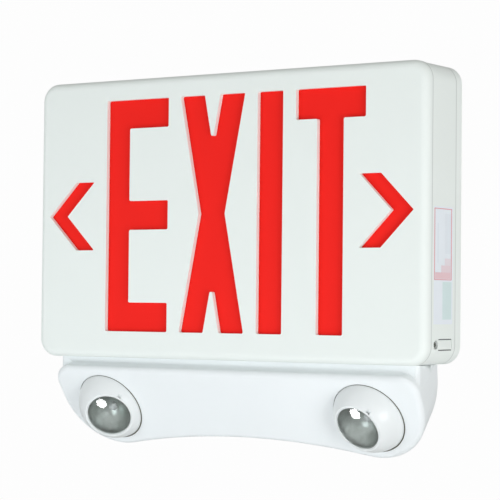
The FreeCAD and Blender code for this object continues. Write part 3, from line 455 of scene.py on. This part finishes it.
def brushed_metal():
    """Long fine streaks along X with small changes of shade and polish."""
    group, given, result = new_group(
        "brushed_metal",
        (("Colour", "Color", (1, 1, 1, 1)), ("Streak Depth", "Float", 0.1),
         ("Roughness", "Float", 0.3)),
        (("Colour", "Color"), ("Roughness", "Float"), ("Normal", "Vector")))
    streaks = noise(group, object_point(group, (60, 2600, 2600)), 1.0, 3.0)
    stains = noise(group, object_point(group), 120.0, 2.0)
    factor = shift(group, stains, 0.9, 1.06)
    group.links.new(tint(group, given.outputs["Colour"], factor), result.inputs["Colour"])
    group.links.new(math_node(group, "ADD", shift(group, streaks, -0.08, 0.08),
                              given.outputs["Roughness"]), result.inputs["Roughness"])
    group.links.new(bump(group, streaks, given.outputs["Streak Depth"], 0.03 * MM),
                    result.inputs["Normal"])


def new_material(name, roughness=0.4, metallic=0.0):
    """Material with one Principled shader; returns it with its tree and shader."""
    material = bpy.data.materials.new(name)
    material.use_nodes = True
    tree = material.node_tree
    shader = tree.nodes["Principled BSDF"]
    shader.inputs["Roughness"].default_value = roughness
    shader.inputs["Metallic"].default_value = metallic
    return material, tree, shader


def place_group(tree, group, shader, **values):
    """Put a shared effect in a material and feed its results to the shader."""
    node = add(tree, "Group")
    node.node_tree = group
    for key, value in values.items():
        node.inputs[key.replace("_", " ")].default_value = value
    links = {"Colour": "Base Color", "Roughness": "Roughness", "Normal": "Normal"}
    for source, target in links.items():
        tree.links.new(node.outputs[source], shader.inputs[target])


def paint_joint_shade(tree, shader, seams):
    """Painted shade in the joints that cross the surface at the given Y places: the colour darkens
    near each.
    """
    coords = add(tree, "TexCoord")
    parts = add(tree, "SeparateXYZ")
    tree.links.new(coords.outputs["Object"], parts.inputs["Vector"])
    factor = 1.0
    for seam in seams:
        gap = math_node(tree, "ABSOLUTE", math_node(tree, "SUBTRACT", parts.outputs["Y"], seam))
        near = add(tree, "MapRange")
        near.inputs["From Max"].default_value = SEAM_REACH
        near.inputs["To Min"].default_value = SEAM_PAINTED_SHADE
        tree.links.new(gap, near.inputs["Value"])
        factor = math_node(tree, "MULTIPLY", near.outputs["Result"], factor)
    base = shader.inputs["Base Color"].links[0].from_socket
    tree.links.new(tint(tree, base, factor), shader.inputs["Base Color"])


def plastic(name, shade, roughness, grain_depth=0.12, grain_scale=900.0, cloudiness=0.02,
            specular=0.25, seams=()):
    """Moulded plastic, with painted shade in the joints at the Y places in seams."""
    material, tree, shader = new_material(name)
    shader.inputs["Specular IOR Level"].default_value = specular
    place_group(tree, bpy.data.node_groups["moulded_grain"], shader, Colour=(*shade, 1),
                Grain_Scale=grain_scale, Grain_Depth=grain_depth, Cloudiness=cloudiness,
                Roughness=roughness)
    if seams:
        paint_joint_shade(tree, shader, seams)
    return material


def metal(name, shade, roughness):
    """Plated steel with fine streaks."""
    material, tree, shader = new_material(name, metallic=1.0)
    place_group(tree, bpy.data.node_groups["brushed_metal"], shader, Colour=(*shade, 1),
                Streak_Depth=0.15, Roughness=roughness)
    return material


def clear_plastic(name, shade, roughness):
    """Clear moulding with a very slight ripple."""
    material, tree, shader = new_material(name, roughness)
    shader.inputs["Base Color"].default_value = (*shade, 1)
    shader.inputs["Transmission Weight"].default_value = 1.0
    shader.inputs["IOR"].default_value = 1.49
    ripple = noise(tree, object_point(tree), 120.0, 1.0)
    tree.links.new(bump(tree, ripple, 0.02, 0.05 * MM), shader.inputs["Normal"])
    return material


def circuit_board(name, shade, trace):
    """Solder mask with tracks that show through as slightly raised lines."""
    material, tree, shader = new_material(name, 0.35)
    cells = add(tree, "TexBrick")
    cells.offset = 0.37
    cells.inputs["Scale"].default_value = 120.0
    cells.inputs["Mortar Size"].default_value = 0.06
    cells.inputs["Color1"].default_value = (*shade, 1)
    cells.inputs["Color2"].default_value = (*[c * 0.86 for c in shade], 1)
    cells.inputs["Mortar"].default_value = (*trace, 1)
    turned = add(tree, "Mapping")
    turned.inputs["Rotation"].default_value = (math.radians(90), 0, 0)
    tree.links.new(object_point(tree), turned.inputs["Vector"])
    tree.links.new(turned.outputs["Vector"], cells.inputs["Vector"])
    tree.links.new(cells.outputs["Color"], shader.inputs["Base Color"])
    tree.links.new(bump(tree, cells.outputs["Fac"], 0.25, 0.05 * MM), shader.inputs["Normal"])
    return material


def bowl_chrome():
    """Bright metallised bowl with patches of haze."""
    material, tree, shader = new_material("bowl_chrome", 0.1, 1.0)
    haze = noise(tree, object_point(tree), 190.0, 2.0)
    shade = add(tree, "MixRGB")
    shade.inputs["Color1"].default_value = (0.27, 0.30, 0.27, 1)
    shade.inputs["Color2"].default_value = (0.62, 0.66, 0.64, 1)
    tree.links.new(haze, shade.inputs["Fac"])
    tree.links.new(shade.outputs["Color"], shader.inputs["Base Color"])
    tree.links.new(shift(tree, haze, 0.26, 0.42), shader.inputs["Roughness"])
    return material


def label_material(low, high):
    """Bare label: pale film with a thin red frame, soft tint columns and a green foot."""
    material, tree, shader = new_material("label_film", 0.35)
    coords = add(tree, "TexCoord")
    parts = add(tree, "SeparateXYZ")
    tree.links.new(coords.outputs["Object"], parts.inputs["Vector"])
    across = add(tree, "MapRange")
    upward = add(tree, "MapRange")
    for node, axis, start, end in ((across, "Y", low.y, high.y), (upward, "Z", low.z, high.z)):
        node.inputs["From Min"].default_value = start
        node.inputs["From Max"].default_value = end
        tree.links.new(parts.outputs[axis], node.inputs["Value"])
    y = across.outputs["Result"]
    z = upward.outputs["Result"]

    def between(value, start, end):
        return math_node(tree, "MULTIPLY", math_node(tree, "GREATER_THAN", value, start),
                         math_node(tree, "LESS_THAN", value, end))

    def block(y0, y1, z0, z1):
        return math_node(tree, "MULTIPLY", between(y, y0, y1), between(z, z0, z1))

    def layer(base, mask, shade, strength):
        node = add(tree, "MixRGB")
        tree.links.new(math_node(tree, "MULTIPLY", mask, strength), node.inputs["Fac"])
        if isinstance(base, tuple):
            node.inputs["Color1"].default_value = (*base, 1)
        else:
            tree.links.new(base, node.inputs["Color1"])
        node.inputs["Color2"].default_value = (*shade, 1)
        return node.outputs["Color"]

    film = (0.86, 0.90, 0.95)
    red = (0.80, 0.20, 0.22)
    grey = (0.42, 0.48, 0.55)
    green = (0.35, 0.66, 0.55)
    outer = block(0.12, 0.95, 0.375, 0.985)
    inner = block(0.155, 0.915, 0.382, 0.978)
    rim = math_node(tree, "SUBTRACT", outer, inner)
    picture = layer(film, rim, (0.72, 0.10, 0.14), 0.75)
    blocks = (
        ((0.17, 0.90, 0.385, 0.44), red, 0.45),
        ((0.45, 0.90, 0.44, 0.50), red, 0.30),
        ((0.62, 0.90, 0.50, 0.56), red, 0.20),
        ((0.62, 0.92, 0.60, 0.94), grey, 0.10),
        ((0.26, 0.33, 0.52, 0.86), grey, 0.12),
        ((0.52, 0.95, 0.04, 0.36), green, 0.32),
    )
    for edges, shade, share in blocks:
        picture = layer(picture, block(*edges), shade, share)
    cloud = shift(tree, noise(tree, coords.outputs["Object"], 90.0), 0.97, 1.03)
    tree.links.new(tint(tree, picture, cloud), shader.inputs["Base Color"])
    return material


def sleeve_film(name, shade):
    """Shrink film with soft ripples round the cells."""
    material, tree, shader = new_material(name, 0.28)
    ripple = noise(tree, object_point(tree, (1, 1, 5)), 110.0, 2.0)
    mix = add(tree, "MixRGB")
    mix.inputs["Color1"].default_value = (*[c * 0.85 for c in shade], 1)
    mix.inputs["Color2"].default_value = (*shade, 1)
    tree.links.new(ripple, mix.inputs["Fac"])
    tree.links.new(mix.outputs["Color"], shader.inputs["Base Color"])
    tree.links.new(bump(tree, ripple, 0.4, 0.3 * MM), shader.inputs["Normal"])
    return material


def phosphor():
    """Warm phosphor face of a lamp chip, with fine specks."""
    material, tree, shader = new_material("chip_phosphor", 0.3)
    speck = noise(tree, object_point(tree), 2400.0, 1.0)
    mix = add(tree, "MixRGB")
    mix.inputs["Color1"].default_value = (0.80, 0.66, 0.22, 1)
    mix.inputs["Color2"].default_value = (0.90, 0.82, 0.42, 1)
    tree.links.new(speck, mix.inputs["Fac"])
    tree.links.new(mix.outputs["Color"], shader.inputs["Base Color"])
    return material


class EXITLIGHT_OT_finishes(bpy.types.Operator):
    """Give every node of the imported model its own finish"""
    bl_idname = "exitlight.finishes"
    bl_label = "Finish the Housing and Works"

    def execute(self, context):
        moulded_grain()
        brushed_metal()
        housing = context.scene.housing
        white = tuple(housing.white)
        finishes = {
            # The face and frame plastics get painted shade along their joints
            "face_white": plastic("face_plastic", white, 0.5, seams=(FACE_SEAM,)),
            "frame_white": plastic("frame_plastic", white, 0.5, seams=(FACE_SEAM, BACK_SEAM)),
            "bar_white": plastic("bar_plastic", tuple(housing.bar_white), 0.42),
            "ball_white": plastic("ball_plastic", tuple(housing.ball_white), 0.32, 0.04,
                                  specular=0.4),
            "ring_white": plastic("ring_plastic", (0.17, 0.17, 0.14), 0.6),
            "button_white": plastic("button_plastic", white, 0.35, 0.05),
            "chamber_white": plastic("chamber_plastic", (0.90, 0.90, 0.88), 0.6, 0.2),
            "red_lens": plastic("red_lens_plastic", tuple(housing.red), 0.45, 0.10, 1500.0, 0.03,
                                specular=0.10),
            "clear_lens": clear_plastic("lens_clear", (0.96, 0.98, 0.98), 0.01),
            "reflector_chrome": bowl_chrome(),
            "screw_steel": metal("screw_zinc", (0.62, 0.63, 0.65), 0.32),
            "strap_steel": metal("strap_zinc", (0.68, 0.69, 0.70), 0.38),
            "strip_board": circuit_board("strip_mask", (0.86, 0.86, 0.82), (0.80, 0.79, 0.72)),
            "led_chip": phosphor(),
            "green_board": circuit_board("board_mask", (0.04, 0.22, 0.10), (0.06, 0.30, 0.14)),
            "transformer_black": plastic("core_plastic", (0.03, 0.03, 0.035), 0.55, 0.3),
            "capacitor_black": sleeve_film("capacitor_sleeve", (0.05, 0.06, 0.12)),
            "battery_wrap": sleeve_film("battery_film", (0.07, 0.20, 0.50)),
            "switch_black": plastic("switch_plastic", (0.045, 0.045, 0.047), 0.5, 0.2),
            "bushing_black": plastic("bushing_rubber", (0.03, 0.03, 0.03), 0.8, 0.3),
            "pilot_clear": clear_plastic("pilot_epoxy", (0.28, 0.31, 0.27), 0.05),
            "label_paper": label_material(*label_box()),
        }
        slots = {part["node"]: part["material_slot"] for part in frame["record"]["subparts"]}
        for node, obj in frame["nodes"].items():
            finish = finishes[slots[node]]
            for place in obj.material_slots:
                place.material = finish
            if not obj.material_slots:
                obj.data.materials.append(finish)
        return {"FINISHED"}


class EXITLIGHT_OT_lamp_optics(bpy.types.Operator):
    """Model each lamp's crowned lens with its ring, its polished bowl and the dome in it"""
    bl_idname = "exitlight.lamp_optics"
    bl_label = "Model the Lamp Optics"

    def lens(self, lamps, name):
        """Clear disc with a domed front."""
        bpy.ops.mesh.primitive_cylinder_add(
            vertices=TURNED_SIDES, radius=lamps.lens_radius, depth=lamps.lens_thickness,
            location=(0, 0, lamps.lens_front - lamps.lens_thickness / 2))
        obj = begin(name)
        for step in range(LENS_RINGS - 1):
            pick(obj, lambda face: face.normal.z > 0.9 and len(face.verts) == TURNED_SIDES)
            before, after = step / LENS_RINGS, (step + 1) / LENS_RINGS
            rise = lamps.lens_crown * ((1 - before) ** 2 - (1 - after) ** 2)
            bpy.ops.mesh.inset(thickness=lamps.lens_radius / LENS_RINGS, depth=rise)
        close_up()
        bpy.ops.object.mode_set(mode="OBJECT")
        soften(obj, LENS_EDGE)
        smooth(obj, CREASE)
        return obj

    def bezel(self, lamps, name):
        """White ring round the lens, with the lug that keys it to the ball."""
        bpy.ops.mesh.primitive_circle_add(
            vertices=TURNED_SIDES, radius=lamps.bezel_radius,
            location=(0, 0, lamps.bezel_front - lamps.bezel_depth))
        obj = begin(name)
        shrink = (lamps.lens_radius + LENS_FIT) / lamps.bezel_radius
        ring_step(rise=lamps.bezel_depth)
        ring_step(grow=shrink)
        ring_step(rise=-lamps.bezel_depth)
        ring_step(grow=1 / shrink)
        close_up()

        def on_lug(face):
            at = face.calc_center_median()
            off = math.atan2(at.y, at.x) - lamps.lug_angle
            outside = at.to_2d().length > lamps.bezel_radius * 0.995
            return outside and abs(off) * lamps.bezel_radius < LUG_HALF_WIDTH

        pick(obj, on_lug)
        bpy.ops.mesh.extrude_region_move()
        bpy.ops.transform.shrink_fatten(value=lamps.lug_reach)
        bpy.ops.object.mode_set(mode="OBJECT")
        soften(obj, BEZEL_EDGE)
        smooth(obj, CREASE)
        return obj

    def bowl(self, lamps, name):
        """Deep turned bowl that narrows to the chip, with a wall and a thin flat rim."""
        rim_front = lamps.lens_front - lamps.lens_thickness - LENS_FIT
        rim_radius = lamps.lens_radius - BOWL_FIT
        flare = rim_radius - BOWL_LIP - lamps.throat_radius
        bpy.ops.mesh.primitive_circle_add(
            vertices=TURNED_SIDES, radius=lamps.throat_radius,
            location=(0, 0, rim_front - lamps.bowl_depth))
        obj = begin(name)
        radius = lamps.throat_radius
        for step in range(BOWL_RINGS):
            share = (step + 1) / BOWL_RINGS
            wanted = lamps.throat_radius + flare * share ** BOWL_CURVE
            ring_step(lamps.bowl_depth / BOWL_RINGS, wanted / radius)
            radius = wanted
        ring_step(grow=rim_radius / radius)
        bpy.ops.object.mode_set(mode="OBJECT")
        thicken(obj, BOWL_WALL)
        smooth(obj, CREASE)
        return obj

    def dome(self, lamps, name):
        """Frosted dome in the bowl's throat, cut flat at its base."""
        base = lamps.lens_front - lamps.lens_thickness - lamps.bowl_depth
        bpy.ops.mesh.primitive_uv_sphere_add(segments=DOME_SIDES, ring_count=DOME_RINGS,
                                             radius=lamps.dome_radius, location=(0, 0, base))
        obj = begin(name)
        bpy.ops.mesh.bisect(plane_co=(0, 0, base + DOME_LIFT), plane_no=(0, 0, 1),
                            clear_inner=True, use_fill=True)
        bpy.ops.object.mode_set(mode="OBJECT")
        smooth(obj, CREASE)
        return obj

    def execute(self, context):
        lamps = context.scene.lamps
        clear = bpy.data.materials["lens_clear"]
        chrome = bpy.data.materials["bowl_chrome"]
        white = bpy.data.materials["ball_plastic"]
        left = (self.lens(lamps, "left_crowned_lens"), self.bowl(lamps, "left_bowl"),
                self.bezel(lamps, "left_lens_bezel"), self.dome(lamps, "left_chip_dome"))
        right = [again(piece, piece.name.replace("left", "right")) for piece in left]
        finishes = ((clear, "clear_lens", "lamp_lens"),
                    (chrome, "reflector_chrome", "lamp_reflector"),
                    (white, "ball_white", None),
                    (white, "ball_white", None))
        for side, pieces in (("left", left), ("right", right)):
            for piece, (finish, slot, node) in zip(pieces, finishes):
                settle(piece, lamp_matrix(side))
                piece.data.materials.append(finish)
                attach(piece, side + "_lamp")
                if node:
                    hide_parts(side + "_" + node)
        return {"FINISHED"}


class EXITLIGHT_OT_bar(bpy.types.Operator):
    """Model the bar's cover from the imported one, with its shoulder a little lower"""
    bl_idname = "exitlight.bar"
    bl_label = "Model the Bar's Cover"

    def lowered(self, point, bar, inverse, top):
        """New place of one corner: the shoulder goes down, the neck's top and bores stay."""
        folded = Vector((abs(point.x), point.y, point.z))
        local = inverse @ folded
        reach = local.to_2d().length
        if point.z > top - bar.neck_keep or reach < bar.bore_reach:
            return point
        if reach < bar.collar_reach and local.y > bar.shoulder_start:
            local.xy = local.xy * (bar.bore_reach / reach)
            moved = inverse.inverted() @ local
        else:
            share = (local.y - bar.shoulder_start) / (bar.shoulder_end - bar.shoulder_start)
            share = min(max(share, 0.0), 1.0)
            eased = share * share * (3 - 2 * share)
            drop = bar.shoulder_drop * eased
            up = Vector(JOINTS["right_lamp_tilt"]["axis"])
            behind = min(max(1 - local.z / bar.neck_level, 0.0), 1.0)
            moved = folded - (up * drop).lerp(Vector((0, 0, drop / up.z)), behind)
        moved.x = math.copysign(moved.x, point.x)
        return moved

    def execute(self, context):
        bar = context.scene.bar
        source = frame["nodes"]["bar_cover"]
        obj = bpy.data.objects.new("lamp_bar_cover", source.data.copy())
        bpy.context.collection.objects.link(obj)
        settle(obj, source.matrix_world.copy())
        bpy.ops.object.mode_set(mode="EDIT")
        close_up()
        bpy.ops.object.mode_set(mode="OBJECT")
        top = max(vertex.co.z for vertex in obj.data.vertices)
        inverse = socket_matrix("right").inverted()
        for vertex in obj.data.vertices:
            vertex.co = self.lowered(vertex.co.copy(), bar, inverse, top)
        smooth(obj, BAR_CREASE)
        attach(obj, "root")
        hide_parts("bar_cover")
        return {"FINISHED"}


class EXITLIGHT_OT_label(bpy.types.Operator):
    """Model the bare side label as a thin film with rounded corners"""
    bl_idname = "exitlight.label"
    bl_label = "Model the Side Label"

    def execute(self, context):
        low, high = label_box()
        centre = (low + high) / 2
        bpy.ops.mesh.primitive_plane_add(size=1, location=(low.x, centre.y, centre.z),
                                         rotation=(0, math.radians(90), 0))
        obj = begin("bare_side_label", (high.z - low.z, high.y - low.y, 1))
        bpy.ops.mesh.bevel(offset=LABEL_CORNER, segments=5, affect="VERTICES")
        bpy.ops.mesh.select_all(action="SELECT")
        bpy.ops.mesh.extrude_region_move(
            TRANSFORM_OT_translate={"value": (high.x - low.x, 0, 0)})
        pick(obj, lambda face: face.normal.x > 0.9 or face.calc_center_median().x > high.x - 1e-6)
        bpy.ops.mesh.inset(thickness=LABEL_EDGE, depth=0.0)
        bpy.ops.mesh.select_all(action="SELECT")
        bpy.ops.mesh.normals_make_consistent(inside=False)
        bpy.ops.object.mode_set(mode="OBJECT")
        smooth(obj, LABEL_CREASE)
        obj.data.materials.append(bpy.data.materials["label_film"])
        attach(obj, "root")
        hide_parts("side_label")
        return {"FINISHED"}


class EXITLIGHT_OT_trim(bpy.types.Operator):
    """Put dark blocks in the test button's two slots and dark rubber seals at both lamp sockets;
    both stand in for the shade in those gaps
    """
    bl_idname = "exitlight.trim"
    bl_label = "Model the Small Trim"

    def slots(self, finish):
        """Two dark blocks, above and below the test button, painted shade in its slots."""
        low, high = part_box("test_button")
        middle = (low + high) / 2
        offset = BUTTON_HALF_HEIGHT + SLOT_OFFSET

        def runs_inwards(edge):
            first, second = edge.verts
            return abs(first.co.x - second.co.x) > SLOT_SIZE[0] / 2

        bpy.ops.mesh.primitive_cube_add(size=1, location=(high.x - SLOT_SINK, middle.y, middle.z))
        upper = begin("upper_slot_lining", SLOT_SIZE)
        pick(upper, runs_inwards, "edges")
        bpy.ops.mesh.bevel(offset=SLOT_CORNER, segments=3)
        bpy.ops.object.mode_set(mode="OBJECT")
        smooth(upper, CREASE)
        lower = again(upper, "lower_slot_lining")
        for piece, rise in ((upper, offset), (lower, -offset)):
            settle(piece, Matrix.Translation((0, 0, rise)))
            piece.data.materials.append(finish)
            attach(piece, "root")

    def gap_shade_seals(self, lamps, finish):
        """Thin dark seal at each socket's mouth, moved to the lower right, standing in for the
        shade in the gap round the ball.
        """
        mouth = math.sqrt(lamps.ball_radius ** 2 - lamps.bar_front ** 2)
        inner = mouth + SEAL_FIT
        bpy.ops.mesh.primitive_circle_add(vertices=SEAL_SIDES, radius=inner,
                                          location=(0, 0, lamps.bar_front + SEAL_RISE))
        left = begin("left_socket_seal")
        ring_step(grow=(inner + lamps.shade_seal_width) / inner)
        aside = lamps.shade_seal_shift * DIAGONAL
        bpy.ops.transform.translate(value=(aside, -aside, 0))
        bpy.ops.object.mode_set(mode="OBJECT")
        thicken(left, SEAL_DEPTH)
        smooth(left, CREASE)
        right = again(left, "right_socket_seal")
        for side, piece in (("left", left), ("right", right)):
            settle(piece, socket_matrix(side))
            piece.data.materials.append(finish)
            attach(piece, "root")

    def execute(self, context):
        # Black blocks in the button's slots paint their shade
        self.slots(bpy.data.materials["switch_plastic"])
        # Dark rubber for the socket seals, painted shade in the gap round each ball
        rubber = plastic("seal_rubber", (0.10, 0.10, 0.075), 0.8, 0.3)
        self.gap_shade_seals(context.scene.lamps, rubber)
        return {"FINISHED"}


class EXITLIGHT_OT_studio(bpy.types.Operator):
    """Set the camera, the soft lights, the surround and the floor"""
    bl_idname = "exitlight.studio"
    bl_label = "Set the Studio"

    def camera(self, studio):
        """Camera turned by yaw, pitch and roll from a look straight back."""
        cos_yaw, sin_yaw = math.cos(studio.yaw), math.sin(studio.yaw)
        cos_pitch, sin_pitch = math.cos(studio.pitch), math.sin(studio.pitch)
        look = Vector((-sin_yaw * cos_pitch, cos_yaw * cos_pitch, sin_pitch))
        level = Vector((cos_yaw, sin_yaw, 0))
        upright = level.cross(look)
        right = math.cos(studio.roll) * level + math.sin(studio.roll) * upright
        up = right.cross(look)
        data = bpy.data.cameras.new("camera")
        data.sensor_width = 36.0
        data.lens = studio.focal
        data.clip_start = 0.05
        data.clip_end = 50.0
        obj = bpy.data.objects.new("camera", data)
        bpy.context.collection.objects.link(obj)
        turn = Matrix((right, up, -look)).transposed().to_4x4()
        obj.matrix_world = Matrix.Translation(Vector(studio.camera_place)) @ turn
        bpy.context.scene.camera = obj

    def disc_light(self, name, place, target, size, watts, shade, hidden_from=()):
        """Round light that faces its target, unseen by the named kinds of rays."""
        data = bpy.data.lights.new(name, "AREA")
        data.shape = "DISK"
        data.size = size
        data.energy = watts
        data.color = shade
        obj = bpy.data.objects.new(name, data)
        bpy.context.collection.objects.link(obj)
        place = Vector(place)
        aim = Vector(target) - place
        turn = aim.to_track_quat("-Z", "Y").to_matrix().to_4x4()
        obj.matrix_world = Matrix.Translation(place) @ turn
        for rays in hidden_from:
            setattr(obj, "visible_" + rays, False)

    def surround(self, studio):
        """Even light that fades overhead; what the camera sees of it stays white."""
        world = bpy.data.worlds.new("studio")
        bpy.context.scene.world = world
        world.use_nodes = True
        tree = world.node_tree
        tree.nodes.clear()
        out = add(tree, "OutputWorld")
        rays = add(tree, "LightPath")
        seen = math_node(tree, "MAXIMUM", rays.outputs["Is Camera Ray"],
                         rays.outputs["Is Transmission Ray"])
        coords = add(tree, "TexCoord")
        parts = add(tree, "SeparateXYZ")
        tree.links.new(coords.outputs["Generated"], parts.inputs["Vector"])
        dim = add(tree, "Background")
        dim.inputs["Color"].default_value = SURROUND_TINT
        tree.links.new(shift(tree, parts.outputs["Z"], studio.level_light, studio.top_light),
                       dim.inputs["Strength"])
        bright = add(tree, "Background")
        bright.inputs["Color"].default_value = BACKDROP_WHITE
        bright.inputs["Strength"].default_value = 1.0
        mix = add(tree, "MixShader")
        tree.links.new(seen, mix.inputs[0])
        tree.links.new(dim.outputs[0], mix.inputs[1])
        tree.links.new(bright.outputs[0], mix.inputs[2])
        tree.links.new(mix.outputs[0], out.inputs["Surface"])

    def floor(self, height):
        """Round sheet of pale paper that glows a little towards the camera."""
        bpy.ops.mesh.primitive_circle_add(vertices=FLOOR_SIDES, radius=FLOOR_RADIUS,
                                          fill_type="NGON", location=(0, FLOOR_BACK, height))
        obj = named("floor")
        bpy.ops.object.transform_apply(location=True, rotation=True, scale=True)
        material, tree, shader = new_material("floor_paper", 0.9)
        shader.inputs["Base Color"].default_value = FLOOR_PAPER
        rays = add(tree, "LightPath")
        glow = add(tree, "Emission")
        glow.inputs["Color"].default_value = BACKDROP_WHITE
        mix = add(tree, "MixShader")
        out = tree.nodes["Material Output"]
        tree.links.new(math_node(tree, "MULTIPLY", rays.outputs["Is Camera Ray"], FLOOR_GLOW),
                       mix.inputs[0])
        tree.links.new(shader.outputs[0], mix.inputs[1])
        tree.links.new(glow.outputs[0], mix.inputs[2])
        tree.links.new(mix.outputs[0], out.inputs["Surface"])
        obj.data.materials.append(material)

    def execute(self, context):
        studio = context.scene.studio
        self.camera(studio)
        self.surround(studio)
        self.floor(studio.floor_drop)
        rows = (
            ("low_front", (-0.08, -0.60, -0.38), (0, 0, -0.06), 0.35, studio.key_power,
             COOL_LIGHT),
            ("left_front", (-0.45, -0.80, -0.13), (0, 0, -0.06), 0.35, studio.side_power,
             COOL_LIGHT, ("glossy", "transmission")),
            ("right_fill", (1.04, -0.62, -0.25), (0, 0, -0.05), 0.5, studio.fill_power,
             PALE_LIGHT, ("transmission",)),
        )
        for row in rows:
            self.disc_light(*row)
        for name, place, target, size in (
                ("left_glint", (-0.126, -0.240, -0.346), (-0.1, -0.04, -0.12), 0.039),
                ("right_glint", (-0.013, -0.118, -0.240), (0.1, -0.04, -0.12), 0.026)):
            watts = studio.glint_power * (size / GLINT_SIZE) ** 2
            self.disc_light(name, place, target, size, watts, WHITE_LIGHT,
                            ("diffuse", "transmission"))
        context.scene.view_settings.view_transform = "Standard"
        return {"FINISHED"}


class EXITLIGHT_PT_panel(bpy.types.Panel):
    """List of the steps, in the order in which they run"""
    bl_idname = "EXITLIGHT_PT_panel"
    bl_label = "Exit Light"
    bl_space_type = "VIEW_3D"
    bl_region_type = "UI"
    bl_category = "Exit Light"

    def draw(self, context):
        for step in STEPS:
            self.layout.operator(step.bl_idname)


STEPS = (EXITLIGHT_OT_finishes, EXITLIGHT_OT_bar, EXITLIGHT_OT_lamp_optics,
         EXITLIGHT_OT_label, EXITLIGHT_OT_trim, EXITLIGHT_OT_studio)
GROUPS = {"housing": HousingSettings, "lamps": LampSettings, "bar": BarSettings,
          "studio": StudioSettings}


def register():
    for name, group in GROUPS.items():
        bpy.utils.register_class(group)
        setattr(bpy.types.Scene, name, PointerProperty(type=group))
    for step in STEPS:
        bpy.utils.register_class(step)
    bpy.utils.register_class(EXITLIGHT_PT_panel)


def unregister():
    bpy.utils.unregister_class(EXITLIGHT_PT_panel)
    for step in reversed(STEPS):
        bpy.utils.unregister_class(step)
    for name, group in GROUPS.items():
        delattr(bpy.types.Scene, name)
        bpy.utils.unregister_class(group)


def main():
    register()
    bpy.ops.exitlight.finishes()
    bpy.ops.exitlight.bar()
    bpy.ops.exitlight.lamp_optics()
    bpy.ops.exitlight.label()
    bpy.ops.exitlight.trim()
    bpy.ops.exitlight.studio()


if __name__ == "__main__":
    main()
